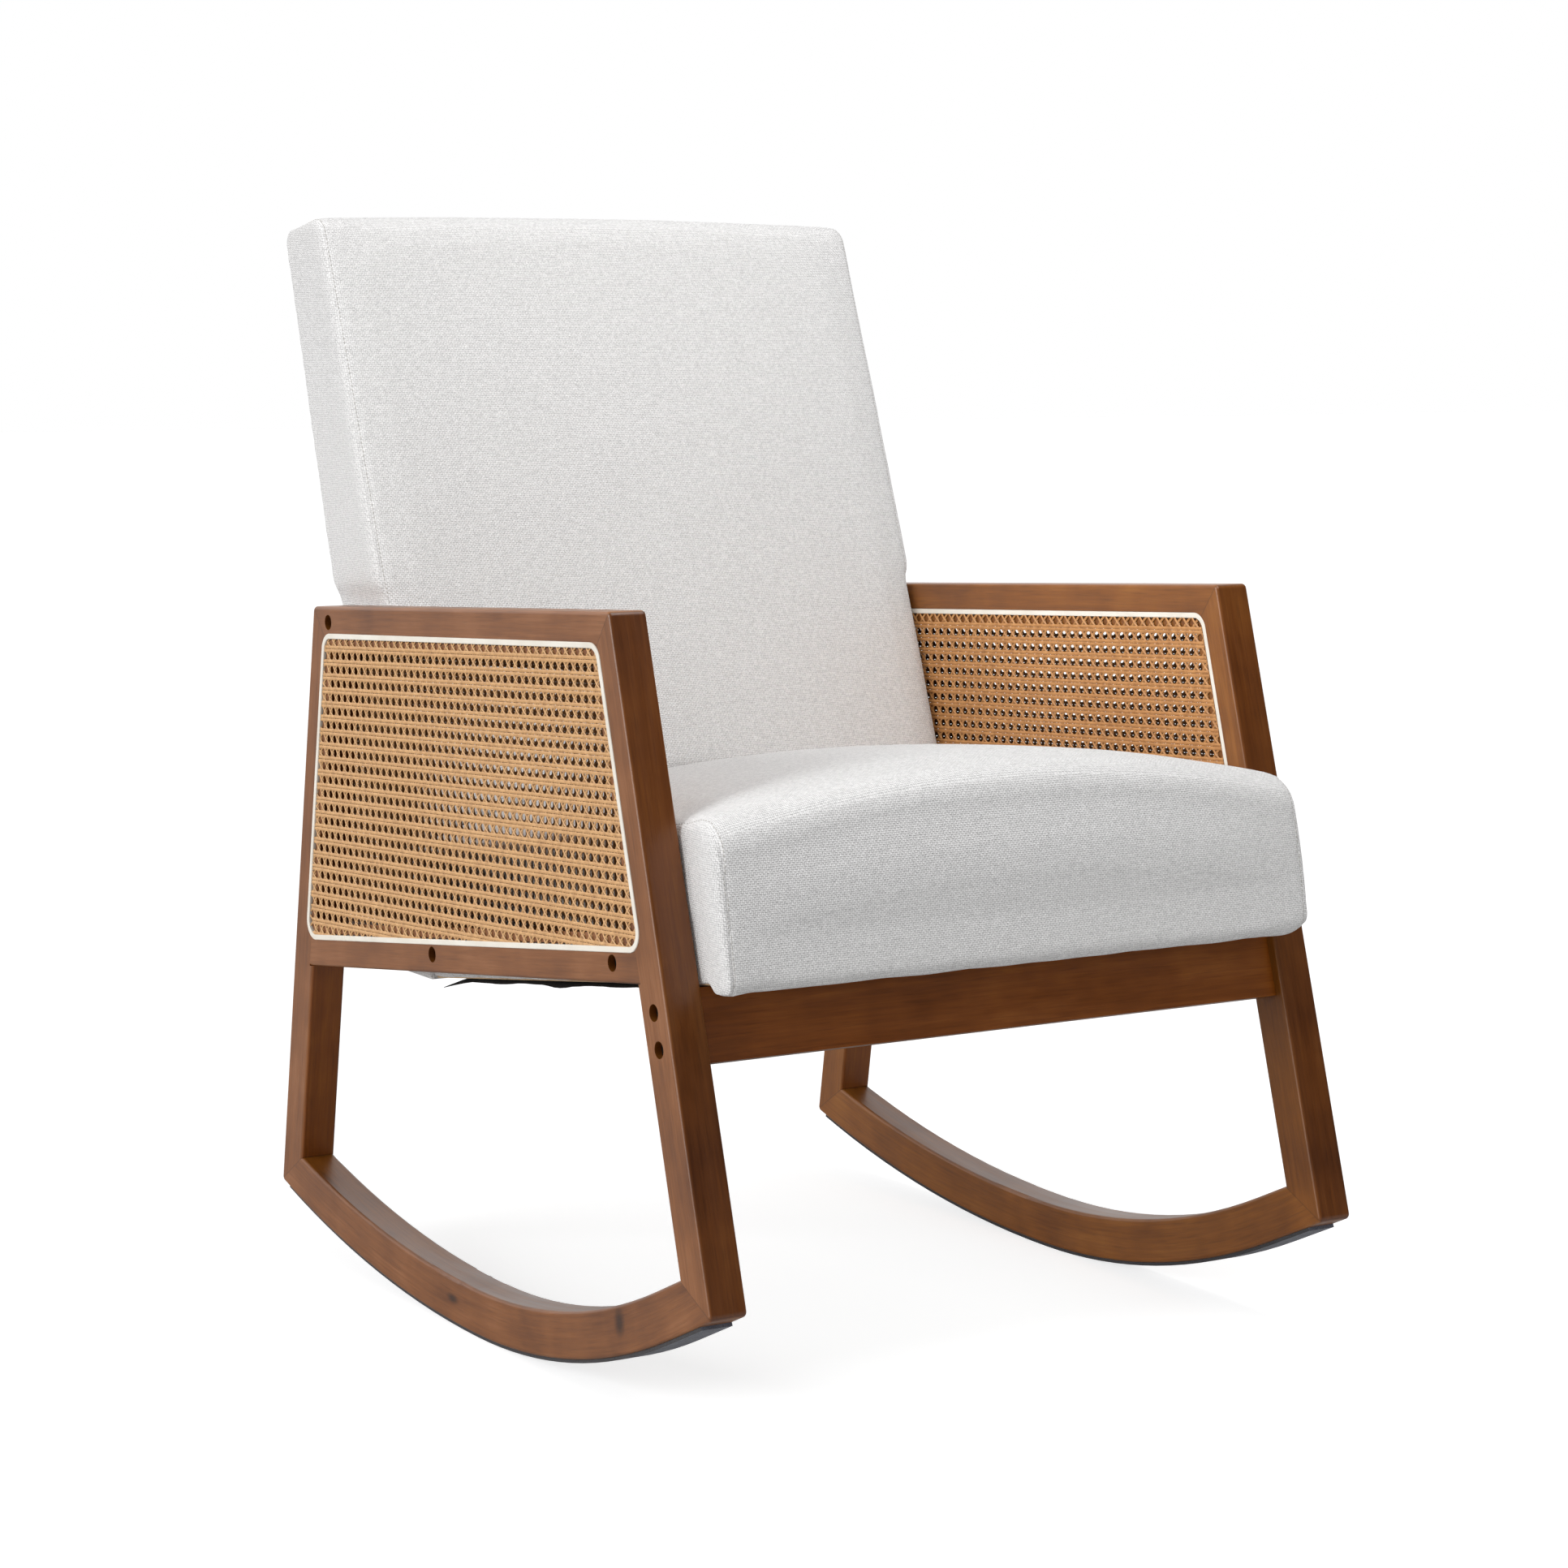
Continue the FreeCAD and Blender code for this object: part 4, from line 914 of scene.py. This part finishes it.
seat_mesh = boxed_cushion(seat_outline, seat_firm)
seat = piece("seat_cushion_cover", seat_mesh, upholstery, True, "upholstery")
blown(seat, 0.005, hold_seat)
ease(seat, 0.00025, hold_seat)
bulged(seat, past_posts, 0.22)
for vert in seat.data.vertices:
    above = (vert.co - SEAT_FOOT).dot(SEAT_UP)
    if above < HEM_HEIGHT and vert.co.y < HEM_FRONT:
        pucker = max(0.0, 1 - abs(vert.co.x - PUCKER_PLACE) / PUCKER_WIDTH)
        rounded = min(1.2, max(0.0, (vert.co.x - ROUND_PLACE) / ROUND_WIDTH))
        drop = HEM_DROP + HEM_WAVE * noise.noise(Vector((vert.co.x * 24, 0, 5)))
        drop += PUCKER * pucker ** 2 - HEM_ROUND * rounded ** 2
        vert.co -= SEAT_UP * (1 - above / HEM_HEIGHT) * drop
sewn(seat)
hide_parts("seat_cushion")
stitches("seat_stitches", seat, seat_outline(0.98))


# The dust cover: thin black spun cloth, stapled under the seat frame with its edges folded in.

dust = Finish("black_spun_cloth")
dust_place = dust.node("TexCoord").outputs["Object"]
dust_fibre = dust.noise(dust_place, 1100.0, 4.0, 0.7)
dust_colour = dust.ramp(dust_fibre, (0.35, (0.006, 0.006, 0.006)), (0.7, (0.035, 0.034, 0.033)))
dust.skin_of(dust_colour, 0.9, dust_fibre, 0.0003, 0.3)
DUST_FRONT, DUST_REAR = Vector((0, -0.36575, 0.35848)), Vector((0, 0.116, 0.29249))
DUST_HALF = 0.2687
# how far the cloth sags, its edges droop and pull, it ripples, and its near rear corner curls
DUST_SAG, DUST_DROOP, DUST_PULL, DUST_RIPPLE = 0.0035, 0.0042, 0.0026, 0.0009
DUST_CURL = Vector((0, 0.024, -0.009))


def thickened(sheet, thickness):
    """Gives a sheet its thickness on its outer side."""
    body = sheet.modifiers.new("thickness", "SOLIDIFY")
    body.thickness = thickness
    body.offset = 1.0


dust_mesh = bmesh.new()
bmesh.ops.create_grid(dust_mesh, x_segments=48, y_segments=44, size=0.5)
for vert in dust_mesh.verts:
    across, along = vert.co.x * 2, vert.co.y + 0.5
    spot = DUST_FRONT.lerp(DUST_REAR, along) + Vector((across * DUST_HALF, 0, 0))
    sag = DUST_SAG * (1 - across ** 2) * (1 - (along * 2 - 1) ** 2)
    loose = max(0.0, (abs(across) - 0.93) / 0.07) * min(1.0, along * 6)
    pulled = DUST_PULL * math.exp(-((along - 0.6) / 0.045) ** 2)
    droop = loose * (DUST_DROOP + pulled + 0.0014 * noise.noise(Vector((spot.x * 9, spot.y * 26, 0))))
    ripple = DUST_RIPPLE * noise.noise(spot * 40.0)
    curl = loose * (max(0.0, along - 0.93) / 0.07) ** 1.5 if across < 0 else 0.0
    vert.co = spot - Vector((0, 0, 0.0009 + sag + droop + abs(ripple)))
    vert.co += DUST_CURL * curl
dust_sheet = piece("dust_cover_cloth", dust_mesh, dust.material, True, "dust_cloth")
thickened(dust_sheet, 0.0006)
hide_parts("dust_cover")


# The back cushion: the same boxed cover over foam on a leaning frame, stepped over the seat,
# with its side panels sewn on along the front edges and over the top.

BACK_CROWN, BACK_TOP, BACK_BOTTOM, BACK_DEPTH = 12, 974, 287.5, 98
SEAT_GAP, SEAT_REACH = 1.5, 560
COVER_TOP, COVER_LOW = Vector((0, 0.40949, 0.92116)), Vector((0, 0.21488, 0.2925))
COVER_OUT = Vector((0, REAR_WAY.y, -REAR_WAY.x))
# how far the back bulges over the arms, how fast that fades and begins, and the arms' line
ARM_BULGE, BULGE_FADE, BULGE_RAMP = 0.0065, 0.005, 0.02
ARM_FRONT, ARM_HEIGHT = -0.2625, 0.648
# where the seat's crowned tail ends under the back, at the sides and in the middle
TAIL_HEIGHT, TAIL_CROWN = 0.404, 0.040


def back_outline(share):
    """The back at a share of its half width: crowned to the front and at its top."""
    swell = 1 - share ** 2
    crown, seat_crown = BACK_CROWN * swell, SEAT_CROWN * swell
    bottom, level = Vector((0, BACK_BOTTOM)), Vector((1, 0))
    tail_face, rear_face = BACK_FACE + BACK_INTO * BACK_TAIL, BACK_FACE + level * BACK_DEPTH
    seat_level = Vector((SEAT_BASE.x, SEAT_TOP + SEAT_GAP + seat_crown * TAIL_SHARE))
    seat_end = meet(tail_face, BACK_WAY, seat_level, heading(-TOP_FALL))
    bow = 2 * math.atan(2 * (ARC_RISE + seat_crown * CROWN_RISE) / SEAT_REACH)
    seat_way = heading(-TOP_FALL - math.degrees(bow))
    low = meet(BACK_FACE - BACK_INTO * (crown * 0.6), BACK_WAY, seat_end, seat_way)
    top_left = BACK_FACE + BACK_WAY * ((BACK_TOP - BACK_FACE.y) / BACK_WAY.y)
    crest = top_left + Vector((0, 3 * swell))
    high = meet(BACK_FACE - BACK_INTO * (crown * 0.5), BACK_WAY, crest, heading(-12))
    rear = meet(crest, heading(-12), rear_face, REAR_WAY)
    heel = meet(bottom, level, rear_face, REAR_WAY)
    tail = meet(bottom, level, tail_face, BACK_WAY)
    face = arc_through(low, high, ARC_RISE + crown * 0.45, 26)
    return round_off([tail, seat_end, *face, rear, heel],
                     {2: 10, 1 + len(face): 22, 2 + len(face): 14, 3 + len(face): 20})


def past_arms(spot):
    """How far the back may bulge sideways at a point: only above the arms."""
    above = spot.z - (ARM_HEIGHT + (spot.y - ARM_FRONT) * math.tan(ARM_SLOPE))
    return (ARM_BULGE - BULGE_FADE * max(0.0, above)) * ramped(above / BULGE_RAMP)


def hold_back(spot):
    """Keeps the back between the side frames, behind the seat and above its own base."""
    side = SIDE_PANEL * MM + past_arms(spot)
    spot = Vector((max(-side, min(side, spot.x)), spot.y, max(spot.z, 0.2876)))
    ahead = (spot - BACK_PLACE).dot(BACK_BEHIND) - BACK_TAIL * MM
    step = TAIL_HEIGHT + TAIL_CROWN * (1 - min(1.0, abs(spot.x) / side) ** 2)
    if ahead < 0 and spot.z < step and spot.y < 0.2:
        spot -= BACK_BEHIND * ahead
    behind = (spot - COVER_TOP).dot(COVER_OUT) + 0.0008
    return spot - COVER_OUT * behind if behind > 0 else spot


def back_firm(point):
    """How far the foam gives at a point: hardly along the rear, fully 50 mm ahead of it."""
    ahead = (Vector((COVER_TOP.y, COVER_TOP.z)) / MM - point).dot(Vector((COVER_OUT.y, COVER_OUT.z)))
    return max(0.12, min(1.0, ahead / 50, (point.y - BACK_BOTTOM) / 50))


back_mesh = boxed_cushion(back_outline, back_firm)
back = piece("back_cushion_cover", back_mesh, upholstery, True, "upholstery")
blown(back, 0.0045, hold_back)
ease(back, 0.0006, hold_back)
bulged(back, past_arms, 0.2)
sewn(back)
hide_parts("back_cushion")
stitches("back_stitches", back, back_outline(0.98)[2:])


# The back cover: a flat panel of the same cloth, folded under and stapled behind the back.

COVER_HALF = 0.2745
cover_mesh = bmesh.new()
bmesh.ops.create_grid(cover_mesh, x_segments=56, y_segments=64, size=0.5)
for vert in cover_mesh.verts:
    across, along = vert.co.x * 2, vert.co.y + 0.5
    spot = COVER_LOW.lerp(COVER_TOP, along) + Vector((across * COVER_HALF, 0, 0))
    swell = 0.0006 * (1 - across ** 2) + 0.0005 * noise.noise(spot * 12.0)
    vert.co = spot + COVER_OUT * (swell - 0.0002)
back_panel = piece("back_cover_cloth", cover_mesh, upholstery, True, "upholstery")
thickened(back_panel, 0.0012)
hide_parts("back_cover")
